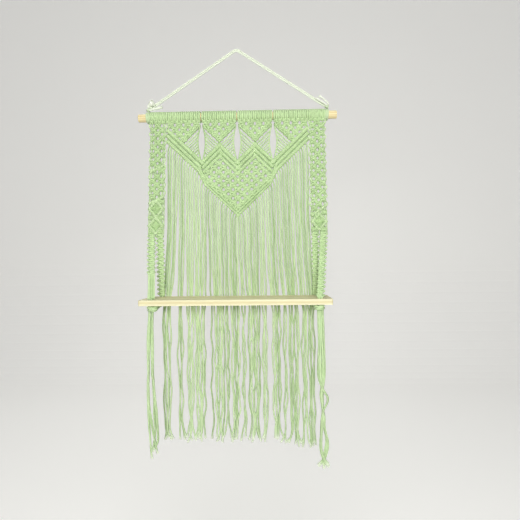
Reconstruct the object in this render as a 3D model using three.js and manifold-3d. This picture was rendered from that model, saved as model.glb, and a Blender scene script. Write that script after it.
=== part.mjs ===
// Knotted-cord hanging shelf: a wooden dowel on a hanging cord, a knotted cord
// panel with a long fringe, and a small wooden board carried by four braided legs.
// Millimetres, +Z up, the front faces -Y. The origin is the point of the hanging
// cord that the whole shelf hangs from; the dowel's axis lies straight below it.
import * as THREE from "three";
import { mergeVertices } from "three/addons/utils/BufferGeometryUtils.js";
import Module from "manifold-3d";

const wasm = await Module();
wasm.setup();

// Clearance between pieces that touch, and how near two vertices count as one
const looseGap = 0.3;
const mergeDistance = 0.001;

// The cord that everything is knotted from
const cordDiameter = 4;
const cordRadius = cordDiameter / 2;
const strandDiameter = 3.8;
const strandSides = 4;
const cordSides = 8;

// Dowel, and how far its bare ends stand out past the wraps
const dowelDiameter = 20;
const dowelRadius = dowelDiameter / 2;
const dowelOverhang = 20;
const dowelEdge = 1.2;
const dowelSides = 24;

// Lark's-head knots on the dowel: one band of four, four sections of eight, one band of four
const headPitch = 10.8;
const bandHeadPitch = 10;
const headsPerSection = 8;
const headsPerBand = 4;
const strandsPerHead = 2;
const sectionCount = 4;
const sectionGap = 3.5;
const bandGap = 1.25;
const headSides = 8;
const headGroove = 1.6;

// Hanging cord: laid double over its hanging point, tied round the dowel at both ends
const hangerRise = 162;
const hangerBend = 8;
const hangerSteps = 38;
const pairGap = 0.4;
const wrapTurns = 1.25;
const wrapPitch = 4.5;
const wrapSeat = 0.45;
const wrapSides = 6;
const stepsPerTurn = 20;
const hangerKnotRadius = 5;

// Loose ends of the hanging cord, two at each knot: routes from the knot's centre,
// with X towards the middle of the shelf
const looseEndSteps = 5;
const looseEndRoutes = {
  left: [
    [[0.6, -4.5, 3.9], [1.2, -6, 7.5], [7, -5.2, 13], [14, -5, 19]],
    [[3.2, -4.9, -0.6], [6.4, -7, -1], [18, -6.2, 0], [36, -5.5, 2.5]],
  ],
  right: [
    [[-2, -3, 4.7], [-2.4, -4.6, 9], [4, -4.5, 17], [12, -4.5, 26]],
    [[2.1, -5, 2.4], [3.8, -7, 5], [11, -6.4, 11], [20, -6, 19]],
  ],
};

// Zigzag of hitched ridges under the sections, as drops below the dowel's axis
const peakDrop = 79;
const valleyDrop = 122;
const tipDrop = 252;
const upperRidgeHeight = 14.5;
const innerRidgeHeight = 13.5;
const outerRidgeHeight = 13.5;
const tipRidgeHeight = 9;
const cornerRidgeHeight = 8;
const cornerRun = 8;
const ridgeThickness = 9;
const ridgeBevelShare = 0.22;

// Square-knot nets
const netThickness = 6;
const knotPitch = 2 * headPitch;
const netRow = 11;
const netHoleWidth = 4.6;
const netHoleHeight = 6.2;
const fieldHolePitch = 23.6;
const fieldRow = 11;
const fieldLowestHole = 35.7;
const fieldMargin = 5;

// Fans of loose cord on both sides of each slit
const ribsPerFan = 7;
const firstRib = 4.6;
const ribStep = 4.4;
const slitHalfWidth = 7.8;
const slitEndHalfWidth = 2.2;
const ribWidth = 3.4;
const fanEdgeSteps = 6;

// Knotted bands down both sides
const bandThickness = 7;
const bandScallop = 1.2;
const bandHalfRow = 10.5;
const bandSplitDrop = 295;
const bandForward = 36;
const bandUpperDrop = 133;
const bandDiagonalRise = 21;
const bandHoleWidth = 6.4;
const bandHoleHeight = 8.5;
const bandCentreHoleWidth = 3.6;
const bandCentreHoleHeight = 5;
const bandFirstHole = 22;
const bandLowerRows = 3;
const diamondTop = 206;
const diamondHeight = 36;
const diamondHalfWidth = 15;
const diamondCount = 2;
const sideHoleWidth = 5.5;
const sideHoleHeight = 11;

// Board
const boardLength = 440;
const boardDepth = 120;
const boardThickness = 13;
const boardDrop = 450;
const boardBehindGap = 3;
const boardCorner = 3;
const holeDiameter = 10;
const holeFromEnd = 28;
const holeFromEdge = 10;
const holeQuarterSteps = 3;

// Braided legs
const legWidth = 17;
const legTopThickness = 3;
const legThickness = 8.6;
const legKnot = 12.5;
const legWaist = 2.2;
const legSides = 6;
const legSpread = 10.3;
const legHeadroom = 0.6;
const legFoot = 2.5;
const bundleDiameter = 9;

// Knots under the board, the cords that run to them, and the tails that hang from them
const underKnotRadius = 8;
const underKnotDrop = 9.5;
const runDiameter = 7.6;
const runSteps = 12;
const tailSeatRadius = 6.4;
const tailSeatHeight = 4;
const tailStrands = 8;
const tailRing = 4.4;
const tailSpread = 3;
const leftTailDrop = 805;
const rightTailDrop = 835;
const tailStagger = 2.2;
const strandSteps = 6;

// Fringe
const strandsPerGroup = 8;
const fringeDrop = 818;
const fringeStagger = 6;
const fringeSeatHeight = 5;
const fringeSeatThickness = 4.4;
const fringeWave = 1.5;
const fringeFlare = 9;
const clumpShare = 0.22;

// Places that follow from the sizes
const sectionWidth = headsPerSection * headPitch;
const sectionPitch = sectionWidth + sectionGap;
const halfPitch = sectionPitch / 2;
const panelHalf = (sectionCount * sectionWidth + (sectionCount - 1) * sectionGap) / 2;
const bandWidth = headsPerBand * bandHeadPitch;
const bandCentre = panelHalf + bandGap + bandWidth / 2;
const rowHalf = bandCentre + bandWidth / 2;
const wrapWidth = wrapTurns * wrapPitch + cordDiameter;
const wrapCentre = rowHalf + looseGap + wrapWidth / 2;
const dowelLength = 2 * (rowHalf + looseGap + wrapWidth + dowelOverhang);
const headInner = dowelRadius + looseGap;
const headOuter = headInner + cordDiameter;
const netTop = headOuter + looseGap;
const armSlope = (valleyDrop - peakDrop) / halfPitch;
const boardBack = -boardBehindGap;
const boardFront = boardBack - boardDepth;
const boardBottomDrop = boardDrop + boardThickness;
const holeX = boardLength / 2 - holeFromEnd;
const backHoleY = boardBack - holeFromEdge;
const frontHoleY = boardFront + holeFromEdge;
const underKnotCentreDrop = boardBottomDrop + underKnotDrop;
const bandLean = Math.atan2(bandForward, bandSplitDrop);
const bandLength = Math.hypot(bandForward, bandSplitDrop);

// Finishes
const cordGreen = new THREE.MeshStandardMaterial({ color: 0xc3dda6, roughness: 0.9, metalness: 0 });
const dowelPine = new THREE.MeshStandardMaterial({ color: 0xe9d9b0, roughness: 0.6, metalness: 0 });
const boardPine = new THREE.MeshStandardMaterial({ color: 0xefe0bd, roughness: 0.65, metalness: 0 });

// A geometry's bare closed surface, with shared vertices merged and its faces pointing out
function closedSurface(geometry) {
  const bare = new THREE.BufferGeometry();
  bare.setAttribute("position", geometry.attributes.position);
  bare.setIndex(geometry.index);
  const merged = mergeVertices(bare, mergeDistance);
  const place = merged.attributes.position;
  const index = Array.from(merged.index.array);
  const a = new THREE.Vector3();
  const b = new THREE.Vector3();
  const c = new THREE.Vector3();
  const kept = [];
  let volume = 0;
  for (let k = 0; k < index.length; k += 3) {
    const [i, j, m] = index.slice(k, k + 3);
    if (i !== j && j !== m && m !== i) {
      kept.push(i, j, m);
      a.fromBufferAttribute(place, i);
      b.fromBufferAttribute(place, j);
      c.fromBufferAttribute(place, m);
      volume += a.dot(b.cross(c));
    }
  }
  merged.setIndex(volume < 0 ? kept.reverse() : kept);
  merged.computeVertexNormals();
  return merged;
}

function solidOf(geometry) {
  const surface = closedSurface(geometry);
  return new wasm.Manifold(
    new wasm.Mesh({
      numProp: 3,
      vertProperties: new Float32Array(surface.attributes.position.array),
      triVerts: new Uint32Array(surface.index.array),
    }),
  );
}

function geometryOf(solid) {
  const mesh = solid.getMesh();
  const geometry = new THREE.BufferGeometry();
  geometry.setAttribute("position", new THREE.BufferAttribute(mesh.vertProperties, 3));
  geometry.setIndex(new THREE.BufferAttribute(mesh.triVerts, 1));
  geometry.computeVertexNormals();
  return geometry;
}

// Several overlapping closed geometries as one solid
function joined(geometries) {
  let whole = solidOf(geometries[0]);
  for (const geometry of geometries.slice(1)) {
    whole = whole.add(solidOf(geometry));
  }
  return geometryOf(whole);
}

function piece(name, geometry, material) {
  const mesh = new THREE.Mesh(closedSurface(geometry), material);
  mesh.name = name;
  return mesh;
}

// A round section with flat sides, for cords
function roundSection(radius, sides) {
  const section = new THREE.Shape();
  for (let k = 0; k < sides; k += 1) {
    const angle = (2 * Math.PI * (k + 1 / 2)) / sides;
    const place = new THREE.Vector2(radius * Math.cos(angle), radius * Math.sin(angle));
    if (k === 0) {
      section.moveTo(place.x, place.y);
    } else {
      section.lineTo(place.x, place.y);
    }
  }
  return section;
}

function tubeAlong(curve, radius, sides, steps) {
  const options = { steps, bevelEnabled: false, extrudePath: curve };
  return new THREE.ExtrudeGeometry(roundSection(radius, sides), options);
}

// A closed skin over a stack of rings with the same number of points
function loft(rings) {
  const count = rings[0].length;
  const faces = [];
  for (let ring = 0; ring + 1 < rings.length; ring += 1) {
    for (let k = 0; k < count; k += 1) {
      const near = ring * count + k;
      const beside = ring * count + ((k + 1) % count);
      faces.push(near, beside, beside + count);
      faces.push(near, beside + count, near + count);
    }
  }
  const last = (rings.length - 1) * count;
  for (let k = 1; k + 1 < count; k += 1) {
    faces.push(0, k + 1, k);
    faces.push(last, last + k, last + k + 1);
  }
  const geometry = new THREE.BufferGeometry();
  geometry.setFromPoints(rings.flat());
  geometry.setIndex(faces);
  return geometry;
}

// One level oval of a loft: half widths a along X and b along Y
function levelRing(x, y, z, a, b, sides) {
  const ring = [];
  for (let k = 0; k < sides; k += 1) {
    const angle = (2 * Math.PI * k) / sides;
    ring.push(new THREE.Vector3(x + a * Math.cos(angle), y + b * Math.sin(angle), z));
  }
  return ring;
}

// A flat outline in X and Z made into a plate centred on y = 0
function plate(shape, thickness) {
  const geometry = new THREE.ExtrudeGeometry(shape, { depth: thickness, bevelEnabled: false });
  geometry.translate(0, 0, -thickness / 2);
  geometry.rotateX(Math.PI / 2);
  return geometry;
}

// An outline between two edges given as functions of x, with corners at the stations
function stripShape(stations, topOf, bottomOf) {
  const upper = stations.map((x) => new THREE.Vector2(x, topOf(x)));
  const lower = stations.map((x) => new THREE.Vector2(x, bottomOf(x))).reverse();
  return new THREE.Shape([...upper, ...lower]);
}

function diamondHole(x, z, width, height) {
  return new THREE.Path([
    new THREE.Vector2(x - width / 2, z),
    new THREE.Vector2(x, z - height / 2),
    new THREE.Vector2(x + width / 2, z),
    new THREE.Vector2(x, z + height / 2),
  ]);
}

// Least gap between turns of a wound cord, measured on points of its centre line
function leastGap(curve, turns, diameter) {
  const samples = Math.round(turns * stepsPerTurn);
  const points = curve.getPoints(samples);
  let least = Infinity;
  for (let i = 0; i < points.length; i += 1) {
    for (let j = i + Math.round(stepsPerTurn / 2); j < points.length; j += 1) {
      least = Math.min(least, points[i].distanceTo(points[j]) - diameter);
    }
  }
  return least;
}

// The dark groove under the upper ridge: a zigzag with valleys below the slits
function grooveZ(x) {
  const out = Math.abs(x);
  const drop = peakDrop + Math.abs(out - halfPitch) * armSlope;
  return -(out > sectionPitch ? valleyDrop - (out - sectionPitch) * armSlope : drop);
}

// The lower edge of the outer border: down along the groove, a short corner, then to the tip
const cornerPasses = 12;
const cornerX = sectionPitch + cornerRun;
const armX = sectionPitch - cornerRun;
function borderBottomZ(x) {
  const out = Math.abs(x);
  if (out <= armX) {
    return -tipDrop + out * armSlope;
  }
  const outside = (at) => grooveZ(at) - 2 * outerRidgeHeight;
  if (out >= cornerX) {
    return outside(out);
  }
  const share = (out - armX) / (cornerX - armX);
  return THREE.MathUtils.lerp(-tipDrop + armX * armSlope, outside(cornerX), share);
}

function borderHeight(x) {
  const out = Math.abs(x);
  if (out >= cornerX) {
    return outerRidgeHeight;
  }
  if (out <= armX) {
    return THREE.MathUtils.lerp(tipRidgeHeight, cornerRidgeHeight, out / armX);
  }
  const share = (out - armX) / (cornerX - armX);
  return THREE.MathUtils.lerp(cornerRidgeHeight, outerRidgeHeight, share);
}

const borderStations = [-panelHalf, -cornerX, -armX, 0, armX, cornerX, panelHalf];
const borderTopZ = (x) => borderBottomZ(x) + 2 * borderHeight(x);

// Where a line this far under the groove meets the border's corner, less the gap
function cornerAt(depth) {
  let x = sectionPitch;
  for (let pass = 0; pass < cornerPasses; pass += 1) {
    const share = (grooveZ(x) - depth - borderTopZ(armX)) / (borderTopZ(cornerX) - borderTopZ(armX));
    x = THREE.MathUtils.lerp(armX, cornerX, share);
  }
  return x - 2 * looseGap;
}

// Hanging cord: two strands side by side over the hanging point and down to the dowel's ends
class HangerPath extends THREE.Curve {
  constructor(radius) {
    super();
    const centreZ = cordRadius - hangerBend;
    const meanRadius = hangerBend + (cordDiameter + pairGap) / 2;
    const acrossX = wrapCentre;
    const downZ = hangerRise + centreZ - (headOuter + looseGap + hangerKnotRadius);
    const reach = Math.hypot(acrossX, downZ);
    this.radius = radius;
    this.centreZ = centreZ;
    this.turn = Math.atan2(downZ, acrossX) + Math.asin(meanRadius / reach);
    this.straight = Math.sqrt(reach ** 2 - meanRadius ** 2) - hangerKnotRadius - looseGap;
    this.arc = radius * this.turn;
  }

  getPoint(t, target = new THREE.Vector3()) {
    const half = this.straight + this.arc;
    const along = (2 * t - 1) * half;
    const side = Math.sign(along);
    const bent = Math.min(Math.abs(along), this.arc) / this.radius;
    const run = Math.max(0, Math.abs(along) - this.arc);
    const x = this.radius * Math.sin(bent) + run * Math.cos(bent);
    const z = this.radius * Math.cos(bent) - run * Math.sin(bent);
    return target.set(side * x, 0, this.centreZ + z);
  }
}

function hangerCord() {
  const bends = { lower: hangerBend, upper: hangerBend + cordDiameter + pairGap };
  return Object.entries(bends).map(([word, bend]) => {
    const tube = tubeAlong(new HangerPath(bend), cordRadius, cordSides, hangerSteps);
    return piece(`hanger_cord_${word}`, tube, cordGreen);
  });
}

// The hanging cord's turns round the dowel
class WrapPath extends THREE.Curve {
  constructor(side) {
    super();
    this.side = side;
  }

  getPoint(t, target = new THREE.Vector3()) {
    const radius = dowelRadius + wrapSeat + cordRadius;
    const angle = 2 * Math.PI * wrapTurns * (t - 1 / 2);
    const x = this.side * (t - 1 / 2) * wrapTurns * wrapPitch;
    return target.set(x, radius * Math.sin(angle), radius * Math.cos(angle));
  }
}

function hangerEnds(side, word) {
  const curve = new WrapPath(side);
  console.log(`least gap in wrap ${word}: ${leastGap(curve, wrapTurns, cordDiameter).toFixed(2)}`);
  const steps = Math.round(wrapTurns * stepsPerTurn);
  const wrap = piece(`hanger_wrap_${word}`, tubeAlong(curve, cordRadius, wrapSides, steps), cordGreen);
  wrap.position.x = side * wrapCentre;
  const knotZ = headOuter + looseGap + hangerKnotRadius;
  const ball = new THREE.SphereGeometry(hangerKnotRadius, cordSides, wrapSides);
  const knot = piece(`hanger_knot_${word}`, ball, cordGreen);
  knot.position.set(side * wrapCentre, 0, knotZ);
  const ends = looseEndRoutes[word].map((route, number) => {
    const points = route.map(([inward, y, z]) => new THREE.Vector3(-side * inward, y, z));
    const tube = tubeAlong(new THREE.CatmullRomCurve3(points), cordRadius, cordSides, looseEndSteps);
    const end = piece(`hanger_end_${word}_${number + 1}`, tube, cordGreen);
    end.position.set(side * wrapCentre, 0, knotZ);
    return end;
  });
  return [wrap, knot, ...ends];
}

function dowel() {
  const half = dowelLength / 2;
  const profile = [
    new THREE.Vector2(0, -half),
    new THREE.Vector2(dowelRadius - dowelEdge, -half),
    new THREE.Vector2(dowelRadius, dowelEdge - half),
    new THREE.Vector2(dowelRadius, half - dowelEdge),
    new THREE.Vector2(dowelRadius - dowelEdge, half),
    new THREE.Vector2(0, half),
  ];
  const geometry = new THREE.LatheGeometry(profile, dowelSides);
  geometry.rotateZ(Math.PI / 2);
  return piece("dowel", geometry, dowelPine);
}

// A row of lark's-head knots: a sleeve with one rounded rib for every strand
function headRow(name, startX, heads, pitch) {
  const inner = headInner / Math.cos(Math.PI / headSides);
  const rib = pitch / strandsPerHead;
  const length = heads * pitch;
  const profile = [new THREE.Vector2(inner, 0)];
  for (let k = 0; k < heads * strandsPerHead; k += 1) {
    const depth = k % strandsPerHead === 0 ? headGroove : headGroove / 2;
    profile.push(new THREE.Vector2(headOuter - depth, k * rib));
    profile.push(new THREE.Vector2(headOuter, (k + 1 / 2) * rib));
  }
  profile.push(new THREE.Vector2(headOuter - headGroove, length));
  profile.push(new THREE.Vector2(inner, length));
  profile.push(new THREE.Vector2(inner, 0));
  const geometry = new THREE.LatheGeometry(profile, headSides);
  geometry.rotateZ(-Math.PI / 2);
  geometry.translate(startX, 0, 0);
  return piece(name, geometry, cordGreen);
}

const sectionCentre = (section) => (section - (sectionCount - 1) / 2) * sectionPitch;

// A section's triangle of square knots, standing on the upper ridge
function triangleNet(section) {
  const half = sectionWidth / 2;
  const tipZ = -peakDrop + upperRidgeHeight + looseGap;
  const shoulderZ = tipZ + half * armSlope;
  const shape = new THREE.Shape([
    new THREE.Vector2(-half, -netTop),
    new THREE.Vector2(half, -netTop),
    new THREE.Vector2(half, shoulderZ),
    new THREE.Vector2(0, tipZ),
    new THREE.Vector2(-half, shoulderZ),
  ]);
  const rows = headsPerSection / 2 - 1;
  for (let row = 0; row < rows; row += 1) {
    const holes = rows - row;
    const z = -netTop - netHoleHeight / 2 - bandScallop - row * netRow;
    for (let k = 0; k < holes; k += 1) {
      const x = (k - (holes - 1) / 2) * knotPitch;
      shape.holes.push(diamondHole(x, z, netHoleWidth, netHoleHeight));
    }
  }
  const net = piece(`triangle_net_${section + 1}`, plate(shape, netThickness), cordGreen);
  net.position.x = sectionCentre(section);
  return net;
}

// A straight square bar from one point to another in the panel's plane
function bar(from, to, width) {
  const geometry = new THREE.BoxGeometry(from.distanceTo(to), width, width);
  geometry.rotateY(-Math.atan2(to.y - from.y, to.x - from.x));
  geometry.translate((from.x + to.x) / 2, 0, (from.y + to.y) / 2);
  return geometry;
}

// Half the width of a slit at a share of its height, from its lower end to its upper end
function slitHalf(share) {
  return slitEndHalfWidth + (slitHalfWidth - slitEndHalfWidth) * Math.sin(Math.PI * share);
}

// A fan beside a slit: one cord along the slit's edge and the cords that leave it
// towards the upper ridge. It is drawn for the slit on the right of its section.
function fan(name, section, side) {
  const strandHalf = strandDiameter / 2;
  const foldZ = -peakDrop + upperRidgeHeight;
  const ridgeZ = (u) => foldZ - u * armSlope;
  const lowZ = ridgeZ(halfPitch - slitEndHalfWidth) + strandDiameter;
  const highZ = foldZ + (sectionWidth / 2) * armSlope - strandDiameter;
  const edgeU = (z) => halfPitch - strandHalf - slitHalf((z - lowZ) / (highZ - lowZ));
  const edge = [];
  for (let k = 0; k <= fanEdgeSteps; k += 1) {
    const z = THREE.MathUtils.lerp(lowZ, highZ, k / fanEdgeSteps);
    edge.push(levelRing(edgeU(z), 0, z, strandHalf, strandHalf, strandSides));
  }
  const cords = [loft(edge)];
  const run = Math.hypot(1, armSlope);
  for (let rib = 0; rib < ribsPerFan; rib += 1) {
    const footU = firstRib + rib * ribStep;
    let headU = halfPitch - slitHalfWidth;
    for (let pass = 0; pass < fanEdgeSteps; pass += 1) {
      headU = edgeU(ridgeZ(footU) + (headU - footU) * armSlope);
    }
    const foot = new THREE.Vector2(footU, ridgeZ(footU));
    const head = new THREE.Vector2(headU, foot.y + (headU - footU) * armSlope);
    const lifted = foot.clone().lerp(head, (looseGap * 2) / ((headU - footU) * run));
    cords.push(bar(lifted, head, ribWidth));
  }
  const geometry = joined(cords);
  if (side < 0) {
    geometry.rotateZ(Math.PI);
  }
  geometry.translate(sectionCentre(section), 0, 0);
  return piece(name, geometry, cordGreen);
}

// A ridge of hitches: a section with bevelled corners carried from station to station
function ridge(name, stations) {
  const half = ridgeThickness / 2;
  const inset = half * (1 - 2 * ridgeBevelShare);
  const sides = [-half, -inset, inset, half, half, inset, -inset, -half];
  const heights = [ridgeBevelShare, 0, 0, ridgeBevelShare, 1 - ridgeBevelShare, 1, 1, 1 - ridgeBevelShare];
  const rings = stations.map(([top, bottom]) => {
    return sides.map((y, k) => {
      const place = bottom.clone().lerp(top, heights[k]);
      return new THREE.Vector3(place.x, y, place.y);
    });
  });
  return piece(name, loft(rings), cordGreen);
}

function ridges() {
  const level = (x, topOf, bottomOf) => [new THREE.Vector2(x, topOf(x)), new THREE.Vector2(x, bottomOf(x))];
  const ends = [-panelHalf, -sectionPitch, -halfPitch, 0, halfPitch, sectionPitch, panelHalf];
  const upperTop = (x) => grooveZ(x) + upperRidgeHeight;
  const made = [ridge("zigzag_ridge_upper", ends.map((x) => level(x, upperTop, grooveZ)))];
  for (let row = 0; row < 2; row += 1) {
    const top = looseGap + row * innerRidgeHeight;
    const bottom = (row + 1) * innerRidgeHeight;
    const topX = cornerAt(top);
    const bottomX = cornerAt(bottom);
    const topOf = (x) => grooveZ(x) - top;
    const bottomOf = (x) => grooveZ(x) - bottom;
    const end = (side) => {
      const upper = new THREE.Vector2(side * topX, topOf(topX));
      return [upper, new THREE.Vector2(side * bottomX, bottomOf(bottomX))];
    };
    const valley = (side) => {
      const upper = new THREE.Vector2(side * sectionPitch, topOf(sectionPitch));
      const lowerX = bottomX - cornerRun;
      return [upper, new THREE.Vector2(side * lowerX, bottomOf(lowerX))];
    };
    const turnsUp = topX > sectionPitch;
    const left = turnsUp ? [end(-1), valley(-1)] : [end(-1)];
    const right = turnsUp ? [valley(1), end(1)] : [end(1)];
    const inner = [-halfPitch, 0, halfPitch].map((x) => level(x, topOf, bottomOf));
    made.push(ridge(`zigzag_ridge_inner_${row + 1}`, [...left, ...inner, ...right]));
  }
  for (let row = 0; row < 2; row += 1) {
    const topOf = (x) => borderBottomZ(x) + (2 - row) * borderHeight(x) - looseGap;
    const bottomOf = (x) => borderBottomZ(x) + (1 - row) * borderHeight(x);
    made.push(ridge(`v_border_${row + 1}`, borderStations.map((x) => level(x, topOf, bottomOf))));
  }
  return made;
}

// The centre field of alternating square knots, with a hole between every four knots
function centreNet() {
  const topZ = (x) => grooveZ(x) - 2 * innerRidgeHeight - looseGap;
  const bottomZ = (x) => borderTopZ(x) + looseGap;
  const sideX = armX - 2 * looseGap;
  const topX = cornerAt(2 * innerRidgeHeight + looseGap);
  const upper = [-topX, -halfPitch, 0, halfPitch, topX].map((x) => new THREE.Vector2(x, topZ(x)));
  const lower = [sideX, 0, -sideX].map((x) => new THREE.Vector2(x, bottomZ(x)));
  const shape = new THREE.Shape([...upper, ...lower]);
  const lowest = -tipDrop + fieldLowestHole;
  const rows = Math.floor((-peakDrop - lowest) / fieldRow);
  const columns = Math.ceil(sideX / fieldHolePitch);
  for (let row = 0; row < rows; row += 1) {
    const z = lowest + row * fieldRow;
    for (let k = -columns; k <= columns; k += 1) {
      const x = (k + (row % 2) / 2) * fieldHolePitch;
      const inside = topZ(x) - z > fieldMargin + netHoleHeight / 2;
      const above = z - bottomZ(x) > fieldMargin + netHoleHeight / 2;
      if (inside && above && Math.abs(x) < sideX - fieldMargin) {
        shape.holes.push(diamondHole(x, z, netHoleWidth, netHoleHeight));
      }
    }
  }
  return piece("centre_net", plate(shape, netThickness), cordGreen);
}

// Eight fringe strands hanging from a slice of the border's lower edge
const fringeGroups = (sectionCount * headsPerSection * strandsPerHead) / strandsPerGroup;
function fringeGroup(group) {
  const pitch = (2 * panelHalf) / (fringeGroups * strandsPerGroup);
  const startX = -panelHalf + group * strandsPerGroup * pitch;
  const endX = startX + strandsPerGroup * pitch - looseGap;
  const inner = borderStations.filter((x) => x > startX && x < endX);
  const topOf = (x) => borderBottomZ(x) - looseGap;
  const seat = stripShape([startX, ...inner, endX], topOf, (x) => topOf(x) - fringeSeatHeight);
  const cords = [plate(seat, fringeSeatThickness)];
  const middle = (startX + endX) / 2;
  for (let k = 0; k < strandsPerGroup; k += 1) {
    const topX = startX + (k + 1 / 2) * pitch;
    const number = group * strandsPerGroup + k;
    const strandHalf = strandDiameter / 2;
    const topZ = Math.min(topOf(topX - strandHalf), topOf(topX + strandHalf)) - looseGap;
    const endZ = -fringeDrop + fringeStagger * Math.sin(number * number);
    const rings = [];
    for (let step = 0; step <= strandSteps; step += 1) {
      const share = step / strandSteps;
      const z = THREE.MathUtils.lerp(topZ, endZ, share);
      const clump = (middle - topX) * clumpShare * share;
      const flare = (middle / panelHalf) * fringeFlare * share;
      const wave = fringeWave * Math.sin(Math.PI * (z / (2 * sectionPitch))) * share;
      rings.push(levelRing(topX + clump + flare + wave, 0, z, strandHalf, strandHalf, strandSides));
    }
    cords.push(loft(rings));
  }
  return piece(`fringe_${group + 1}`, joined(cords), cordGreen);
}

// Half the width of a band, which bulges at every knot
function bandHalf(drop) {
  const bulge = Math.abs(Math.cos((Math.PI * drop) / (2 * bandHalfRow)));
  return bandWidth / 2 - bandScallop + bandScallop * bulge;
}

// A band outline between a level or slanted top and bottom, with scalloped sides
function bandShape(topLeft, topRight, bottomLeft, bottomRight) {
  const sideOf = (from, to, side) => {
    const points = [];
    const steps = Math.max(1, Math.round((to - from) / bandHalfRow));
    for (let k = 0; k <= steps; k += 1) {
      const drop = THREE.MathUtils.lerp(from, to, k / steps);
      points.push(new THREE.Vector2(side * bandHalf(drop), -drop));
    }
    return points;
  };
  const rightSide = sideOf(topRight, bottomRight, 1).reverse();
  return new THREE.Shape([...sideOf(topLeft, bottomLeft, -1), ...rightSide]);
}

function bandPieces(word) {
  const cut = (x) => bandUpperDrop - bandDiagonalRise * (1 / 2 + x / bandWidth);
  const leftCut = cut(-bandWidth / 2);
  const rightCut = cut(bandWidth / 2);
  const upper = bandShape(netTop, netTop, leftCut, rightCut);
  const row = 2 * bandHalfRow;
  const rows = Math.floor((rightCut - bandFirstHole) / row) + 1;
  const open = (shape, firstDrop, count) => {
    for (let k = 0; k < count; k += 1) {
      const drop = firstDrop + k * row;
      for (const side of [-1, 1]) {
        shape.holes.push(diamondHole(side * bandHalfRow, -drop, bandHoleWidth, bandHoleHeight));
      }
      if (k + 1 < count) {
        shape.holes.push(diamondHole(0, -drop - bandHalfRow, bandCentreHoleWidth, bandCentreHoleHeight));
      }
    }
  };
  open(upper, bandFirstHole, rows);
  const lower = bandShape(leftCut + looseGap, rightCut + looseGap, bandLength, bandLength);
  open(lower, bandUpperDrop + bandHalfRow, bandLowerRows);
  for (let k = 0; k <= diamondCount; k += 1) {
    const drop = diamondTop + k * (diamondHeight + bandCentreHoleHeight);
    for (const side of [-1, 1]) {
      const x = side * (diamondHalfWidth + (bandWidth / 2 - diamondHalfWidth) / 2 - bandScallop);
      if (drop + sideHoleHeight < bandLength) {
        lower.holes.push(diamondHole(x, -drop, sideHoleWidth, sideHoleHeight));
      }
    }
  }
  return [
    piece(`band_net_${word}`, plate(upper, bandThickness), cordGreen),
    piece(`band_diamonds_${word}`, plate(lower, bandThickness), cordGreen),
  ];
}

// The board with its four cord holes
function board() {
  const half = boardLength / 2;
  const shape = new THREE.Shape();
  shape.moveTo(-half + boardCorner, boardFront);
  shape.lineTo(half - boardCorner, boardFront);
  shape.absarc(half - boardCorner, boardFront + boardCorner, boardCorner, -Math.PI / 2, 0, false);
  shape.lineTo(half, boardBack - boardCorner);
  shape.absarc(half - boardCorner, boardBack - boardCorner, boardCorner, 0, Math.PI / 2, false);
  shape.lineTo(-half + boardCorner, boardBack);
  shape.absarc(-half + boardCorner, boardBack - boardCorner, boardCorner, Math.PI / 2, Math.PI, false);
  shape.lineTo(-half, boardFront + boardCorner);
  const lastTurn = (3 * Math.PI) / 2;
  shape.absarc(-half + boardCorner, boardFront + boardCorner, boardCorner, Math.PI, lastTurn, false);
  for (const x of [-holeX, holeX]) {
    for (const y of [backHoleY, frontHoleY]) {
      const hole = new THREE.Path();
      hole.absarc(x, y, holeDiameter / 2, 0, 2 * Math.PI, false);
      shape.holes.push(hole);
    }
  }
  const options = { depth: boardThickness, bevelEnabled: false, curveSegments: 2 * holeQuarterSteps };
  const geometry = new THREE.ExtrudeGeometry(shape, options);
  geometry.translate(0, 0, -boardBottomDrop);
  return piece("shelf_board", geometry, boardPine);
}

// A braided leg from the band's lower end to its hole, with a bulge for every knot
function leg(word, side, front) {
  const topX = side * (bandCentre + (front ? legSpread : -legSpread));
  const holeY = front ? frontHoleY : backHoleY;
  const topDrop = bandSplitDrop + legHeadroom;
  const footDrop = boardDrop - legFoot;
  const knots = Math.round((footDrop - topDrop) / legKnot);
  const topHalf = legWidth / 2 - legWaist;
  const rings = [levelRing(topX, -bandForward, -topDrop, topHalf, legTopThickness / 2, legSides)];
  for (let k = 1; k <= 2 * knots - 1; k += 1) {
    const share = k / (2 * knots);
    const x = THREE.MathUtils.lerp(topX, side * holeX, share);
    const y = THREE.MathUtils.lerp(-bandForward, holeY, share);
    const z = -THREE.MathUtils.lerp(topDrop, footDrop, share);
    const waist = k % 2 === 0 ? legWaist : 0;
    rings.push(levelRing(x, y, z, (legWidth - waist) / 2, (legThickness - waist / 2) / 2, legSides));
  }
  const neck = bundleDiameter / 2;
  const endDrop = front ? underKnotCentreDrop - underKnotRadius - looseGap : boardBottomDrop;
  rings.push(levelRing(side * holeX, holeY, -footDrop, neck, neck, legSides));
  rings.push(levelRing(side * holeX, holeY, -endDrop, neck, neck, legSides));
  return piece(`leg_${front ? "front" : "back"}_${word}`, loft(rings), cordGreen);
}

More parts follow.
